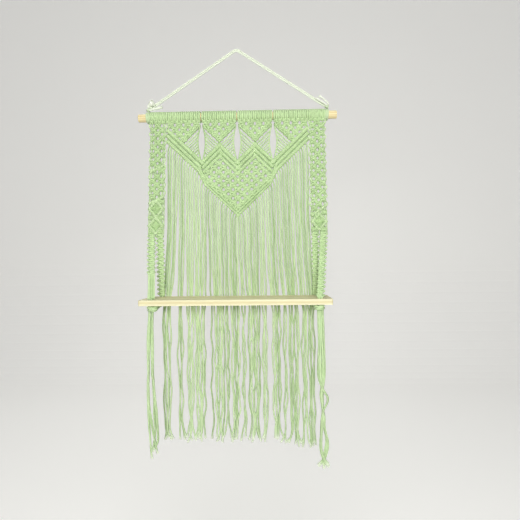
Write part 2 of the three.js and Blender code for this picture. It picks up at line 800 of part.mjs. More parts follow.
// The back cords' run under the board to the front knot
function underRun(word, side) {
  const x = side * holeX;
  const startDrop = boardBottomDrop + looseGap;
  const radius = runDiameter / 2;
  const endY = frontHoleY + underKnotRadius + looseGap;
  const route = new THREE.CatmullRomCurve3([
    new THREE.Vector3(x, backHoleY, -startDrop),
    new THREE.Vector3(x, backHoleY, -startDrop - radius),
    new THREE.Vector3(x, backHoleY - 2 * radius, -startDrop - 2 * radius),
    new THREE.Vector3(x, (backHoleY + endY) / 2, -(startDrop + 2 * radius + underKnotCentreDrop) / 2),
    new THREE.Vector3(x, endY + radius, -underKnotCentreDrop),
    new THREE.Vector3(x, endY, -underKnotCentreDrop),
  ]);
  return piece(`under_run_${word}`, tubeAlong(route, radius, cordSides, runSteps), cordGreen);
}

// The knot under the front hole, with a waist where the last turn is pulled tight
function underKnot(word, side) {
  const levelShares = [0.975, 0.75, 0.375, 0, -0.375, -0.75, -0.975];
  const widthShares = [0.19, 0.63, 0.91, 0.82, 0.91, 0.63, 0.19];
  const rings = levelShares.map((level, k) => {
    const radius = widthShares[k] * underKnotRadius;
    return levelRing(0, 0, level * underKnotRadius, radius, radius, cordSides);
  });
  const knot = piece(`under_knot_${word}`, loft(rings), cordGreen);
  knot.position.set(side * holeX, frontHoleY, -underKnotCentreDrop);
  return knot;
}

// Eight loose strands hanging together from the knot
function tail(word, side, drop) {
  const top = underKnotRadius + looseGap;
  const seat = [top, top + tailSeatHeight].map((down) => {
    return levelRing(0, 0, -down, tailSeatRadius, tailSeatRadius, cordSides);
  });
  const cords = [loft(seat)];
  const length = drop - underKnotCentreDrop;
  for (let k = 0; k < tailStrands; k += 1) {
    const centre = k === 0;
    const angle = (2 * Math.PI * k) / (tailStrands - 1);
    const end = length - tailStagger * k;
    const rings = [];
    for (let step = 0; step <= strandSteps; step += 1) {
      const share = step / strandSteps;
      const reach = centre ? 0 : tailRing + tailSpread * share;
      const down = THREE.MathUtils.lerp(top + tailSeatHeight / 2, end, share);
      const x = reach * Math.cos(angle);
      const y = reach * Math.sin(angle);
      rings.push(levelRing(x, y, -down, strandDiameter / 2, strandDiameter / 2, strandSides));
    }
    cords.push(loft(rings));
  }
  const tailPiece = piece(`tail_${word}`, joined(cords), cordGreen);
  tailPiece.position.set(side * holeX, frontHoleY, -underKnotCentreDrop);
  return tailPiece;
}

// Assembly: everything below the hanging cord is placed from the dowel's axis
const hangingShelf = new THREE.Group();
const belowHanger = new THREE.Group();
belowHanger.position.z = -hangerRise;
hangingShelf.add(...hangerCord());
hangingShelf.add(belowHanger);

belowHanger.add(...hangerEnds(-1, "left"), ...hangerEnds(1, "right"));
belowHanger.add(dowel());
belowHanger.add(headRow("heads_band_left", -rowHalf, headsPerBand, bandHeadPitch));
for (let section = 0; section < sectionCount; section += 1) {
  const startX = sectionCentre(section) - sectionWidth / 2;
  belowHanger.add(headRow(`heads_section_${section + 1}`, startX, headsPerSection, headPitch));
  belowHanger.add(triangleNet(section));
}
belowHanger.add(headRow("heads_band_right", rowHalf - bandWidth, headsPerBand, bandHeadPitch));
for (let slit = 1; slit < sectionCount; slit += 1) {
  belowHanger.add(fan(`slit_${slit}_left_fan`, slit - 1, 1));
  belowHanger.add(fan(`slit_${slit}_right_fan`, slit, -1));
}
belowHanger.add(...ridges(), centreNet());
for (let group = 0; group < fringeGroups; group += 1) {
  belowHanger.add(fringeGroup(group));
}

// Both bands lean forward from the dowel to the point where their legs part
for (const [word, side] of [["left", -1], ["right", 1]]) {
  const band = new THREE.Group();
  band.position.x = side * bandCentre;
  band.rotation.x = -bandLean;
  band.add(...bandPieces(word));
  belowHanger.add(band);
  belowHanger.add(leg(word, side, true), leg(word, side, false));
  belowHanger.add(underRun(word, side), underKnot(word, side));
}
belowHanger.add(board());
belowHanger.add(tail("left", -1, leftTailDrop), tail("right", 1, rightTailDrop));

export default hangingShelf;
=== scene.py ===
# %% [markdown]
# # A knotted-cord hanging shelf
# The real object is made from three things: soft green cotton cord, a turned pine
# rod and a small pine board. Nearly everything that the eye sees is one cord, folded,
# looped and knotted. So the lesson builds one tool, a round section carried along
# many paths at once, and then spends its time on the paths.

import bmesh
import bpy
import numpy as np
from mathutils import Matrix, Vector


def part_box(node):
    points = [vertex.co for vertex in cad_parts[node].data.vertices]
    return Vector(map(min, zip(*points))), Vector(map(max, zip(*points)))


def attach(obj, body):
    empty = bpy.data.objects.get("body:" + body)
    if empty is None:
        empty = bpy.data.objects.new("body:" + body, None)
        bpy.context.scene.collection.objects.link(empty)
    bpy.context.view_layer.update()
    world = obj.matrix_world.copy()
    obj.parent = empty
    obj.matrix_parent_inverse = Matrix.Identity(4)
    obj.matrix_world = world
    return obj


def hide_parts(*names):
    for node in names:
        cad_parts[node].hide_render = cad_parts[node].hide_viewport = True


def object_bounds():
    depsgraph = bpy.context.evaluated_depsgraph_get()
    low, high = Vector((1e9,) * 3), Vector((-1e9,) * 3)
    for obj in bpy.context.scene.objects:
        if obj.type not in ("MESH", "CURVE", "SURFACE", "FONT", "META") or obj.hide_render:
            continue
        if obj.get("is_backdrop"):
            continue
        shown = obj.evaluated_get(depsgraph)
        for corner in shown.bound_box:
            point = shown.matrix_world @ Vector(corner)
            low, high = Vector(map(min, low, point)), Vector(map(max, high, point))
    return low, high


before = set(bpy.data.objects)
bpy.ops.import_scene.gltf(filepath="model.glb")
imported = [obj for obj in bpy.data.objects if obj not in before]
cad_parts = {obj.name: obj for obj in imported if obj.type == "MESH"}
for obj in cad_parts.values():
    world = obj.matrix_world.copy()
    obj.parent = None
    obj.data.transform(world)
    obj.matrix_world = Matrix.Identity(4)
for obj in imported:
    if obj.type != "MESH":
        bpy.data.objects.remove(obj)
cad_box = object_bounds()
print("CAD box", [round(v, 4) for v in (*cad_box[0], *cad_box[1])])

# %% [markdown]
# ## The camera
# The photograph was taken from a little right of the middle, level with a point about
# halfway down the panel, from about a metre away. The camera could be turned by Euler
# angles, but a matrix built from its three axes shows plainly what each angle does.

# %% Camera
PHOTO_WIDTH_PX = 520
FOCAL_PX = 457.1
SENSOR_MM = 36
CAMERA_PLACE = np.array([0.0882, -1.1470, -0.5233])
CAMERA_YAW = -0.0300
CAMERA_ROLL = -0.0111


def camera_matrix(place, yaw, roll):
    """Level forward axis turned by yaw, with right and up turned about it by roll."""
    forward = np.array([np.sin(yaw), np.cos(yaw), 0.0])
    level = np.array([np.cos(yaw), -np.sin(yaw), 0.0])
    lift = np.cross(level, forward)
    right = np.cos(roll) * level + np.sin(roll) * lift
    up = np.cos(roll) * lift - np.sin(roll) * level
    grid = np.eye(4)
    grid[:3, 0], grid[:3, 1], grid[:3, 2], grid[:3, 3] = right, up, -forward, place
    return Matrix(grid.tolist())


camera_data = bpy.data.cameras.new("camera")
camera_data.sensor_width = SENSOR_MM
camera_data.lens = FOCAL_PX / PHOTO_WIDTH_PX * SENSOR_MM
camera = bpy.data.objects.new("camera", camera_data)
camera.matrix_world = camera_matrix(CAMERA_PLACE, CAMERA_YAW, CAMERA_ROLL)
bpy.context.scene.collection.objects.link(camera)
bpy.context.scene.camera = camera
print(f"lens {camera_data.lens:.1f} mm")

# %% [markdown]
# ## One tool for every cord
# A cord could be a Blender curve with a bevel, but there are hundreds of them and each
# needs a texture that turns with its lay. Here a round section is carried along all
# the cords of a piece together, and the piece becomes a mesh from whole arrays at once.

# %% A mesh from whole arrays
MM = 0.001


def mesh_from(name, verts, quads, uvs, caps=(), **values):
    """A mesh from whole arrays: corner places, four corners a face, a map for each corner,
    flat end caps, and any named values, one for each corner place."""
    mesh = bpy.data.meshes.new(name)
    faces = quads.tolist() + [list(cap) for cap in caps]
    mesh.from_pydata(verts.reshape(-1, 3).tolist(), [], faces)
    layer = mesh.uv_layers.new(name="lay")
    full = np.zeros((len(mesh.loops), 2))
    full[: uvs.shape[0]] = uvs
    layer.data.foreach_set("uv", full.ravel())
    for key, value in values.items():
        attribute = mesh.attributes.new(key, "FLOAT", "POINT")
        attribute.data.foreach_set("value", value.ravel())
    mesh.polygons.foreach_set("use_smooth", [True] * len(quads) + [False] * len(caps))
    mesh.update()
    piece = bpy.data.objects.new(name, mesh)
    bpy.context.scene.collection.objects.link(piece)
    return piece


# %% [markdown]
# The section must not spin as the cord bends, so its side direction is carried from ring
# to ring and only straightened against the new direction of travel. The map keeps the
# angle round the cord in U and the length along it, in metres, in V, and that is what
# the material twists its strands by.

# %% Carrying a round section along paths
def carried_frames(paths):
    """Tangent, side and other side of each path: the side is the last ring's, less what
    of it lies along the new tangent, made one long again."""
    tangent = np.gradient(paths, axis=1)
    tangent /= np.linalg.norm(tangent, axis=2, keepdims=True)
    start = np.where(np.abs(tangent[:, 0, 1:2]) > 0.8, [[1.0, 0.0, 0.0]], [[0.0, 1.0, 0.0]])
    sides = np.empty_like(paths)
    carried = start
    for ring in range(paths.shape[1]):
        along = tangent[:, ring]
        carried = carried - (carried * along).sum(1, keepdims=True) * along
        carried = carried / np.linalg.norm(carried, axis=1, keepdims=True)
        sides[:, ring] = carried
    return tangent, sides, np.cross(tangent, sides)


def tube_arrays(paths, radius, sides):
    """Ring points = path + radius (cos a side + sin a other side), for every path at once.
    radius is one number, or one for each path and ring. The last result is |y| of the
    unit circle at each point: 1 on the cord's crown, 0 on its flanks."""
    count, rings = paths.shape[:2]
    _, side, other = carried_frames(paths)
    angle = np.arange(sides) / sides * 2 * np.pi
    thick = np.broadcast_to(np.asarray(radius, float), (count, rings))[..., None, None]
    wheel = np.cos(angle)[:, None] * side[:, :, None] + np.sin(angle)[:, None] * other[:, :, None]
    verts = paths[:, :, None] + thick * wheel
    step = np.linalg.norm(np.diff(paths, axis=1), axis=2)
    length = np.concatenate([np.zeros((count, 1)), np.cumsum(step, axis=1)], axis=1)
    c, m, k = np.meshgrid(np.arange(count), np.arange(rings - 1), np.arange(sides), indexing="ij")
    near = (c * rings + m) * sides
    beside = (k + 1) % sides
    quads = np.stack([near + k, near + beside, near + sides + beside, near + sides + k], -1).reshape(-1, 4)
    turn = np.stack([k, k + 1, k + 1, k], -1) / sides
    run = np.stack([length[c, m], length[c, m], length[c, m + 1], length[c, m + 1]], -1)
    uvs = np.stack([turn, run], -1).reshape(-1, 2)
    ends = np.arange(count)[:, None] * rings * sides + np.arange(sides)
    caps = [*ends[:, ::-1].tolist(), *(ends + (rings - 1) * sides).tolist()]
    return verts.reshape(-1, 3), quads, uvs, caps, np.abs(wheel[..., 1]).ravel()


# %% [markdown]
# A piece is one mesh of many cords. Each point of it carries two values that the map
# can't give: how near it is to a cut end, and its tone. No two cords take the dye alike,
# and the tone also carries painted shade and painted light: a cord is painted darker on its
# flanks, where it lies against its neighbours, cords that lie behind others are painted
# darker, and some that stand forward are painted lighter.

# %% A piece made of many cords
CORD = 3.9 * MM
RADIUS = CORD / 2
SIDES = 8
KNOT_SIDES = 6
# Painted shade: the tone falls by this much on a cord's flanks, where its surface turns away from the front and
# the back.
PAINTED_FLANK_SHADE = 1.3
dye_lots = np.random.default_rng(3)


def cords(name, groups, worn_ends=0.0, tone=None, fade=0.0):
    """One piece from several groups of paths: each group is (paths, radius), then if it needs
    them its sides, a fixed worn value and what it adds to the tone: painted shade for cords
    that lie behind others, painted light for cords that stand forward, and elsewhere a cord's
    own tone. worn = fade + (1 - fade) (1 - length left / worn ends), and 1 at the cut. tone =
    the piece's, or a drawn one for each cord, + the group's - the flank shade (1 - crown),
    which is painted shade on a cord's flanks."""
    verts, quads, uvs, caps, worn, tones, base = [], [], [], [], [], [], 0
    for group in groups:
        paths, radius, sides, fixed, deeper = (*group, *(None,) * (5 - len(group)))
        paths = np.asarray(paths, float)
        paths = paths[None] if paths.ndim == 2 else paths
        sides = sides or SIDES
        v, q, uv, cap, crown = tube_arrays(paths, radius, sides)
        verts.append(v)
        quads.append(q + base)
        uvs.append(uv)
        caps += [[corner + base for corner in face] for face in cap]
        end = np.full(paths.shape[:2], fixed or 0.0)
        if worn_ends and fixed is None:
            left = np.linalg.norm(np.diff(paths, axis=1), axis=2)[:, ::-1].cumsum(1)[:, ::-1]
            end[:, :-1] = fade + (1 - fade) * np.clip(1 - left / worn_ends, 0, 1)
            end[:, -1] = 1
        worn.append(np.repeat(end.ravel(), sides))
        lot_and_shade = dye_lots.uniform(0, 1, len(paths)) if tone is None else np.full(len(paths), tone)
        # Painted shade and light: the group's value darkens cords that lie behind others and lightens some that
        # stand forward, elsewhere it is a cord's own tone; then each cord is painted darker on its flanks.
        lot_and_shade = lot_and_shade + (0.0 if deeper is None else deeper)
        tones.append(np.repeat(lot_and_shade, paths.shape[1] * sides) - PAINTED_FLANK_SHADE * (1 - crown))
        base += len(v)
    return mesh_from(name, np.concatenate(verts), np.concatenate(quads), np.concatenate(uvs), caps,
                     worn=np.concatenate(worn), tone=np.concatenate(tones))


# %% [markdown]
# Most cords are set by a few points, which a smooth line joins. A cut end that is seen
# from near is closed with a round cap, and not with a flat disc.

# %% Round caps and smooth lines
CAP_DEGREES = [30, 55, 75, 86]


def rounded(paths, thick):
    """Each path with four rings more, on which its last radius closes in a quarter circle."""
    way = paths[:, -1] - paths[:, -2]
    way /= np.linalg.norm(way, axis=1, keepdims=True)
    a = np.radians(CAP_DEGREES)
    last = thick[:, -1:]
    more = paths[:, -1:] + way[:, None] * (last * np.sin(a))[..., None]
    return np.concatenate([paths, more], 1), np.concatenate([thick, last * np.cos(a)], 1)


def smooth(points, count):
    """A smooth line through given points (..., n, 3): on each stretch a cubic whose
    slope at a point is half the way from the point before to the one after."""
    points = np.asarray(points, float)
    ends = 2 * points[..., [0, -1], :] - points[..., [1, -2], :]
    full = np.concatenate([ends[..., :1, :], points, ends[..., 1:, :]], axis=-2)
    place = np.linspace(0, points.shape[-2] - 1, count)
    first = np.minimum(place.astype(int), points.shape[-2] - 2)
    t = (place - first)[:, None]
    a, b, c, d = (full[..., first + k, :] for k in range(4))
    return 0.5 * (2 * b + (c - a) * t + (2 * a - 5 * b + 4 * c - d) * t**2 + (3 * b - a - 3 * c + d) * t**3)


# %% [markdown]
# Every piece rides on a moving body and stands for some solids of the model, which are
# hidden. One helper does both and prints the piece's count of triangles.

# %% Body and solids of a piece
def put(piece, body, *nodes, slot="cord"):
    """The piece rides on its body and stands for its CAD nodes, which are hidden; slot is not used."""
    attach(piece, body)
    if nodes:
        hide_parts(*nodes)
    tris = sum(len(p.vertices) - 2 for p in piece.data.polygons)
    print(f"{piece.name}: {tris} triangles")
    return piece


# %% [markdown]
# ## Places
# The dowel's axis, the widths of the knotted sections and the board are read from the
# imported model, so the cords below always meet them.

# %% Places read from the frame
GAP = 0.3 * MM
SECTIONS = (1, 2, 3, 4)
HEADS_IN_SECTION = 8
SIDE_WORDS = (("left", -1), ("right", 1))


def box(node):
    """The lowest and the highest corner of a solid of the model."""
    low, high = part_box(node)
    return np.array(low), np.array(high)


def middle_x(node):
    """Half the sum of the box's two ends along X."""
    return sum(corner[0] for corner in box(node)) / 2


dowel_low, dowel_high = box("dowel")
axis_z = (dowel_low[2] + dowel_high[2]) / 2
dowel_radius = (dowel_high[2] - dowel_low[2]) / 2
section_low, section_high = box("heads_section_1")
section_width = section_high[0] - section_low[0]
section_centres = [middle_x(f"heads_section_{n}") for n in SECTIONS]
section_pitch = section_centres[1] - section_centres[0]
half_pitch = section_pitch / 2
panel_half = box("heads_section_4")[1][0]
head_pitch = section_width / HEADS_IN_SECTION
head_outer = section_high[2] - axis_z
net_top = head_outer + GAP
print(f"dowel axis {axis_z * 1000:.0f} mm, heads every {head_pitch * 1000:.2f} mm, "
      f"panel half {panel_half * 1000:.1f} mm")

# %% [markdown]
# Two bent lines carry the whole pattern: the dark groove under the upper ridge, and the
# lower edge of the V's border. Both are functions of x, so each ridge, net and fan can
# ask for its height. Their drops repeat the model's own driving sizes.

# %% The zigzag and the V
PEAK_DROP = 79 * MM
VALLEY_DROP = 122 * MM
TIP_DROP = 252 * MM
UPPER_RIDGE = 14.5 * MM
INNER_RIDGE = 13.5 * MM
TIP_RIDGE = 9 * MM
CORNER_RIDGE = 8 * MM
CORNER_RUN = 8 * MM
arm_slope = (VALLEY_DROP - PEAK_DROP) / half_pitch
arm_x = section_pitch - CORNER_RUN
corner_x = section_pitch + CORNER_RUN


def groove_z(x):
    """Drop of the dark line under the upper ridge: a zigzag, straight out past the last valley."""
    out = np.abs(x)
    inside = PEAK_DROP + np.abs(out - half_pitch) * arm_slope
    return axis_z - np.where(out > section_pitch, VALLEY_DROP - (out - section_pitch) * arm_slope, inside)


def border_z(x):
    """Lower edge of the V's border: along the groove outside, a short corner, straight to the tip."""
    out = np.abs(x)
    outside = groove_z(np.maximum(out, corner_x)) - 2 * INNER_RIDGE
    low = axis_z - TIP_DROP + arm_x * arm_slope
    corner_z = groove_z(corner_x) - 2 * INNER_RIDGE
    share = (out - arm_x) / (corner_x - arm_x)
    straight = axis_z - TIP_DROP + out * arm_slope
    inside = np.where(out <= arm_x, straight, low + (corner_z - low) * share)
    return np.where(out >= corner_x, outside, inside)


# %% [markdown]
# ## Finishes
# A finish is a small net of nodes, and most of its lines of code only join sockets. A few
# helpers do that, so that each material below reads as a recipe.

# %% Helpers for materials
def node_of(tree, kind, **values):
    """A new node with its inputs or its settings given by name."""
    node = tree.nodes.new(kind)
    for key, value in values.items():
        if key in node.inputs:
            node.inputs[key].default_value = value
        else:
            setattr(node, key, value)
    return node


def joined_maths(tree, operation, first, second=None):
    """A Math node on sockets or numbers."""
    node = tree.nodes.new("ShaderNodeMath")
    node.operation = operation
    for socket, value in zip(node.inputs, (first, second)):
        if isinstance(value, (int, float)):
            socket.default_value = value
        elif value is not None:
            tree.links.new(value, socket)
    return node.outputs[0]


def weighed(tree, *parts):
    """The sum of socket times weight over all (socket, weight) parts."""
    total = joined_maths(tree, "MULTIPLY", *parts[0])
    for part in parts[1:]:
        total = joined_maths(tree, "ADD", total, joined_maths(tree, "MULTIPLY", *part))
    return total


def noise(tree, vector, scale, detail):
    """A noise of the given scale, in grains a metre, read at the vector's place."""
    node = node_of(tree, "ShaderNodeTexNoise", Scale=scale, Detail=detail)
    tree.links.new(vector, node.inputs["Vector"])
    return node.outputs["Fac"]


def ramp(tree, socket, stops):
    """A colour ramp with (place, colour) stops."""
    node = tree.nodes.new("ShaderNodeValToRGB")
    elements = node.color_ramp.elements
    while len(elements) < len(stops):
        elements.new(0.5)
    for element, (place, colour) in zip(elements, stops):
        element.position = place
        element.color = (*colour, 1)
    tree.links.new(socket, node.inputs["Fac"])
    return node.outputs["Color"]


def roughened(tree, shader, height, distance, strength):
    """Tilts the shader's normal by a height; strength is a number or a socket."""
    bump = node_of(tree, "ShaderNodeBump", Distance=distance)
    if isinstance(strength, float):
        bump.inputs["Strength"].default_value = strength
    else:
        tree.links.new(strength, bump.inputs["Strength"])
    tree.links.new(height, bump.inputs["Height"])
    tree.links.new(bump.outputs["Normal"], shader.inputs["Normal"])


def srgb(r, g, b):
    """A colour as a paint chart gives it, turned to the linear light that shaders use."""
    share = np.array([r, g, b]) / 255
    return tuple(np.where(share <= 0.04045, share / 12.92, ((share + 0.055) / 1.055) ** 2.4).tolist())


def new_material(name, roughness, shine):
    """A plain material and its parts, with its roughness and specular level."""
    material = bpy.data.materials.new(name)
    material.use_nodes = True
    tree = material.node_tree
    shader = tree.nodes["Principled BSDF"]
    shader.inputs["Roughness"].default_value = roughness
    shader.inputs["Specular IOR Level"].default_value = shine
    return material, tree, shader


# %% [markdown]
# The cord is cotton in three loosely laid strands with a soft, dull surface. Its strands
# could be modelled, but a bump that winds round the map's U as V grows shows the same
# lay at any size. The cut ends are paler, where the dye has not taken.

# %% Cotton cord
CORD_LIGHT = srgb(214, 234, 187)
CORD_MIDDLE = srgb(196, 221, 167)
CORD_DEEP = srgb(160, 190, 129)
CORD_CUT_END = srgb(236, 241, 224)
STRANDS_IN_CORD = 3
LAY_LENGTH = 14 * MM
STRAND_HEIGHT = 0.6 * MM
SOFT_SHEEN = {"Sheen Weight": 0.25, "Sheen Roughness": 0.6}


def cotton_cord():
    """Height = |sin(pi (3 U + V / lay))|, plus fine fibres; the hollows between strands are
    painted darker as painted shade, and a slow noise fades the dye here and there."""
    material, tree, shader = new_material("green_cotton_cord", 0.92, 0.15)
    for name, value in SOFT_SHEEN.items():
        shader.inputs[name].default_value = value
    lay = node_of(tree, "ShaderNodeUVMap", uv_map="lay")
    split = tree.nodes.new("ShaderNodeSeparateXYZ")
    tree.links.new(lay.outputs["UV"], split.inputs[0])
    around = joined_maths(tree, "MULTIPLY", split.outputs["X"], float(STRANDS_IN_CORD))
    along = joined_maths(tree, "DIVIDE", split.outputs["Y"], LAY_LENGTH)
    phase = joined_maths(tree, "MULTIPLY", joined_maths(tree, "ADD", around, along), float(np.pi))
    strand = joined_maths(tree, "ABSOLUTE", joined_maths(tree, "SINE", phase))
    place = tree.nodes.new("ShaderNodeTexCoord").outputs["Object"]
    fibre = noise(tree, place, 900.0, 3.0)
    dye = noise(tree, place, 38.0, 2.0)
    worn, tone = (node_of(tree, "ShaderNodeAttribute", attribute_name=name).outputs["Fac"]
                  for name in ("worn", "tone"))
    laid = joined_maths(tree, "SUBTRACT", 1.0, worn)
    roughened(tree, shader, weighed(tree, (strand, 1.0), (fibre, 0.35)), STRAND_HEIGHT,
              joined_maths(tree, "MULTIPLY", laid, 0.22))
    # Painted shade: the strand pattern darkens the hollows between strands, and the tone attribute brings the
    # cords' painted shade and painted light; the dye noise is the cord's own.
    shade = weighed(tree, (strand, 0.2), (dye, 0.36), (tone, 0.38))
    colour = ramp(tree, shade, [(0.12, CORD_DEEP), (0.5, CORD_MIDDLE), (0.92, CORD_LIGHT)])
    mix = tree.nodes.new("ShaderNodeMix")
    mix.data_type = "RGBA"
    tree.links.new(worn, mix.inputs["Factor"])
    tree.links.new(colour, mix.inputs["A"])
    mix.inputs["B"].default_value = (*CORD_CUT_END, 1)
    tree.links.new(mix.outputs["Result"], shader.inputs["Base Color"])
    return material


# %% [markdown]
# A rod and a board are cut from a trunk, and their grain is the trunk's yearly rings cut
# through. So the pine isn't painted with stripes: rings are laid round a pith that lies
# well outside the piece, and they meet each face and each end as a saw would show them.

# %% Pale pine
GRAIN_STRETCH = 0.06


def pine(name, light, dark, rough, rings_scale, pith):
    """Growth rings are a wave round the tree's pith, a line along X at (y, z), bent by noise;
    a second, drawn-out noise makes the fine fibres."""
    material, tree, shader = new_material(name, rough, 0.3)
    place = tree.nodes.new("ShaderNodeTexCoord")
    stretch = node_of(tree, "ShaderNodeMapping", Scale=(GRAIN_STRETCH, 1.0, 1.0),
                      Location=(0.0, -pith[0], -pith[1]))
    tree.links.new(place.outputs["Object"], stretch.inputs["Vector"])
    rings = node_of(tree, "ShaderNodeTexWave", wave_type="RINGS", rings_direction="X",
                    Scale=rings_scale, Distortion=2.2, Detail=2.0)
    rings.inputs["Detail Scale"].default_value = 0.5
    tree.links.new(stretch.outputs["Vector"], rings.inputs["Vector"])
    fine = noise(tree, stretch.outputs["Vector"], 650.0, 4.0)
    grain = weighed(tree, (rings.outputs["Fac"], 0.65), (fine, 0.4))
    tree.links.new(ramp(tree, grain, [(0.15, light), (0.95, dark)]), shader.inputs["Base Color"])
    roughened(tree, shader, fine, 0.3 * MM, 0.25)
    return material


# %% [markdown]
# The rod is a warm, yellow pine and the board a paler one. Their piths lie at different
# places, so their rings differ as well. Every cord, knotted or loose, shares one finish.

# %% The three finishes
cord_finish = cotton_cord()
dowel_finish = pine("dowel_pine", srgb(244, 232, 186), srgb(222, 198, 142), 0.55, 90.0, (0.012, -0.18))
board_finish = pine("board_pine", srgb(236, 231, 194), srgb(216, 204, 156), 0.6, 62.0, (-0.045, -0.66))
print("finishes:", [m.name for m in (cord_finish, dowel_finish, board_finish)])


def finish_cord(piece, body, *nodes):
    """A cord piece gets the cord's finish and is put in its place."""
    piece.data.materials.append(cord_finish)
    return put(piece, body, *nodes)


# %% [markdown]
# ## The hanging cord
# One cord is laid double over its hanging point, so two lengths lie side by side from
# knot to knot. It is under load, so it runs straight and bends only there. The route's
# points are the model's own: straight down each leg and round the arc at the top. This
# cord has faded to a paler green than the rest.

# %% Hanging cord
HANGER_RISE = 162 * MM
HANGER_BEND = 8 * MM
PAIR_GAP = 0.4 * MM
HANGER_DIAMETER = 4 * MM
HANGER_SIDES = 12
HANGER_TONE = 0.95
KNOT_RADIUS = 5 * MM
FADED = 0.85
wrap_x = middle_x("hanger_wrap_right")
knot_z = axis_z + head_outer + GAP + KNOT_RADIUS


def hanger_route(radius, count=120):
    """Straight leg, arc of the given radius at the top, straight leg, by length along it."""
    centre = HANGER_DIAMETER / 2 - HANGER_BEND
    mean = HANGER_BEND + (HANGER_DIAMETER + PAIR_GAP) / 2
    down = HANGER_RISE + centre - (head_outer + GAP + KNOT_RADIUS)
    reach = np.hypot(wrap_x, down)
    turn = np.arctan2(down, wrap_x) + np.arcsin(mean / reach)
    straight = np.sqrt(reach**2 - mean**2) - KNOT_RADIUS - GAP
    arc = radius * turn
    along = np.linspace(-1, 1, count) * (straight + arc)
    bent = np.minimum(np.abs(along), arc) / radius
    run = np.maximum(0, np.abs(along) - arc)
    x = np.sign(along) * (radius * np.sin(bent) + run * np.cos(bent))
    z = centre + radius * np.cos(bent) - run * np.sin(bent)
    return np.stack([x, np.zeros(count), z], 1)


for word, radius in (("lower", HANGER_BEND), ("upper", HANGER_BEND + HANGER_DIAMETER + PAIR_GAP)):
    route = hanger_route(radius)
    group = (route, HANGER_DIAMETER / 2, HANGER_SIDES, FADED)
    piece = cords(f"hanging_cord_{word}", [group], tone=HANGER_TONE)
    finish_cord(piece, "hanger", f"hanger_cord_{word}")

# %% [markdown]
# A cut end of cotton cord opens into a small pale brush. Each fibre of it starts inside
# the cord's section, keeps its direction and bends away from the middle. Hair could be
# grown there as well, but arrays of fibres become part of the piece's own mesh.

# %% Brushes of cut ends
FIBRE_RINGS = 4
FIBRE_SIDES = 4
FIBRE_ROOT = 0.8 * MM
brush = np.random.default_rng(11)


def frayed(ends, ways, fibres, length, spread, radius, within=0.85 * RADIUS):
    """Fibre = end + offset + way * length * t + sideways * spread * t^2, t from 0 to 1."""
    ends, ways = np.atleast_2d(ends)[:, None], np.atleast_2d(ways)
    ways = (ways / np.linalg.norm(ways, axis=1, keepdims=True))[:, None]
    count = (ends.shape[0], fibres)
    sideways = brush.normal(0, 1, (*count, 3))
    sideways -= (sideways * ways).sum(-1, keepdims=True) * ways
    sideways /= np.linalg.norm(sideways, axis=-1, keepdims=True)
    reach = brush.uniform(0.1, 1.0, (*count, 1))
    size = length * brush.uniform(0.55, 1.0, (*count, 1))
    t = np.linspace(0, 1, FIBRE_RINGS)
    start = ends + sideways * reach * within - ways * FIBRE_ROOT
    path = start[:, :, None] + (ways * size)[:, :, None] * t[:, None]
    path = path + (sideways * reach * spread)[:, :, None] * t[:, None] ** 2
    return (path.reshape(-1, FIBRE_RINGS, 3), radius, FIBRE_SIDES, 1.0)


# %% [markdown]
# The cord's two loose ends at each knot are short and stand off from it. They have come
# untwisted, so each swells towards its cut, and one at the left has opened to a tuft.
# Their points are given from the knot's middle, with X towards the shelf's middle.

# %% Loose ends of the hanging cord
LOOSE_ENDS = {
    ("left", 1): ([(0.6, -4.5, 3.9), (0.8, -5.5, 7.5), (3.6, -5.6, 11), (8.4, -6, 14.5)], 7.6 * MM),
    ("left", 2): ([(3.2, -4.9, -0.6), (6.4, -7, -1), (18, -7.5, 1), (34, -9, 4.5)], 4.0 * MM),
    ("right", 1): ([(-2, -3, 4.7), (-2.4, -4.6, 9), (6, -4.5, 17), (16.5, -5, 25)], 3.2 * MM),
    ("right", 2): ([(2.1, -5, 2.4), (3.8, -7, 5), (13, -6.4, 11), (24, -7, 18)], 2.9 * MM),
}
END_RINGS = 30
END_SIDES = 16
END_FIBRES = 60
END_FIBRE = 0.35 * MM
TUFT_LONG, TUFT_SPREAD, TUFT_WITHIN = 1.5, 0.5, 0.9
SWELL_POWER = 2.5
for word, side in SIDE_WORDS:
    for number in (1, 2):
        points, tip = LOOSE_ENDS[word, number]
        route = smooth(np.array(points) * MM * (-side, 1, 1) + (side * wrap_x, 0, knot_z), END_RINGS)
        swell = np.linspace(0, 1, END_RINGS) ** SWELL_POWER
        wider = (HANGER_DIAMETER / 2 + (tip - HANGER_DIAMETER / 2) * swell)[None]
        fuzz = frayed(route[-1], route[-1] - route[-3], END_FIBRES, TUFT_LONG * tip,
                      TUFT_SPREAD * tip, END_FIBRE, TUFT_WITHIN * tip)
        groups = [(*rounded(route[None], wider), END_SIDES, 1.0), fuzz]
        piece = cords(f"loose_end_{word}_{number}", groups, tone=HANGER_TONE)
        finish_cord(piece, "hanger", f"hanger_end_{word}_{number}")
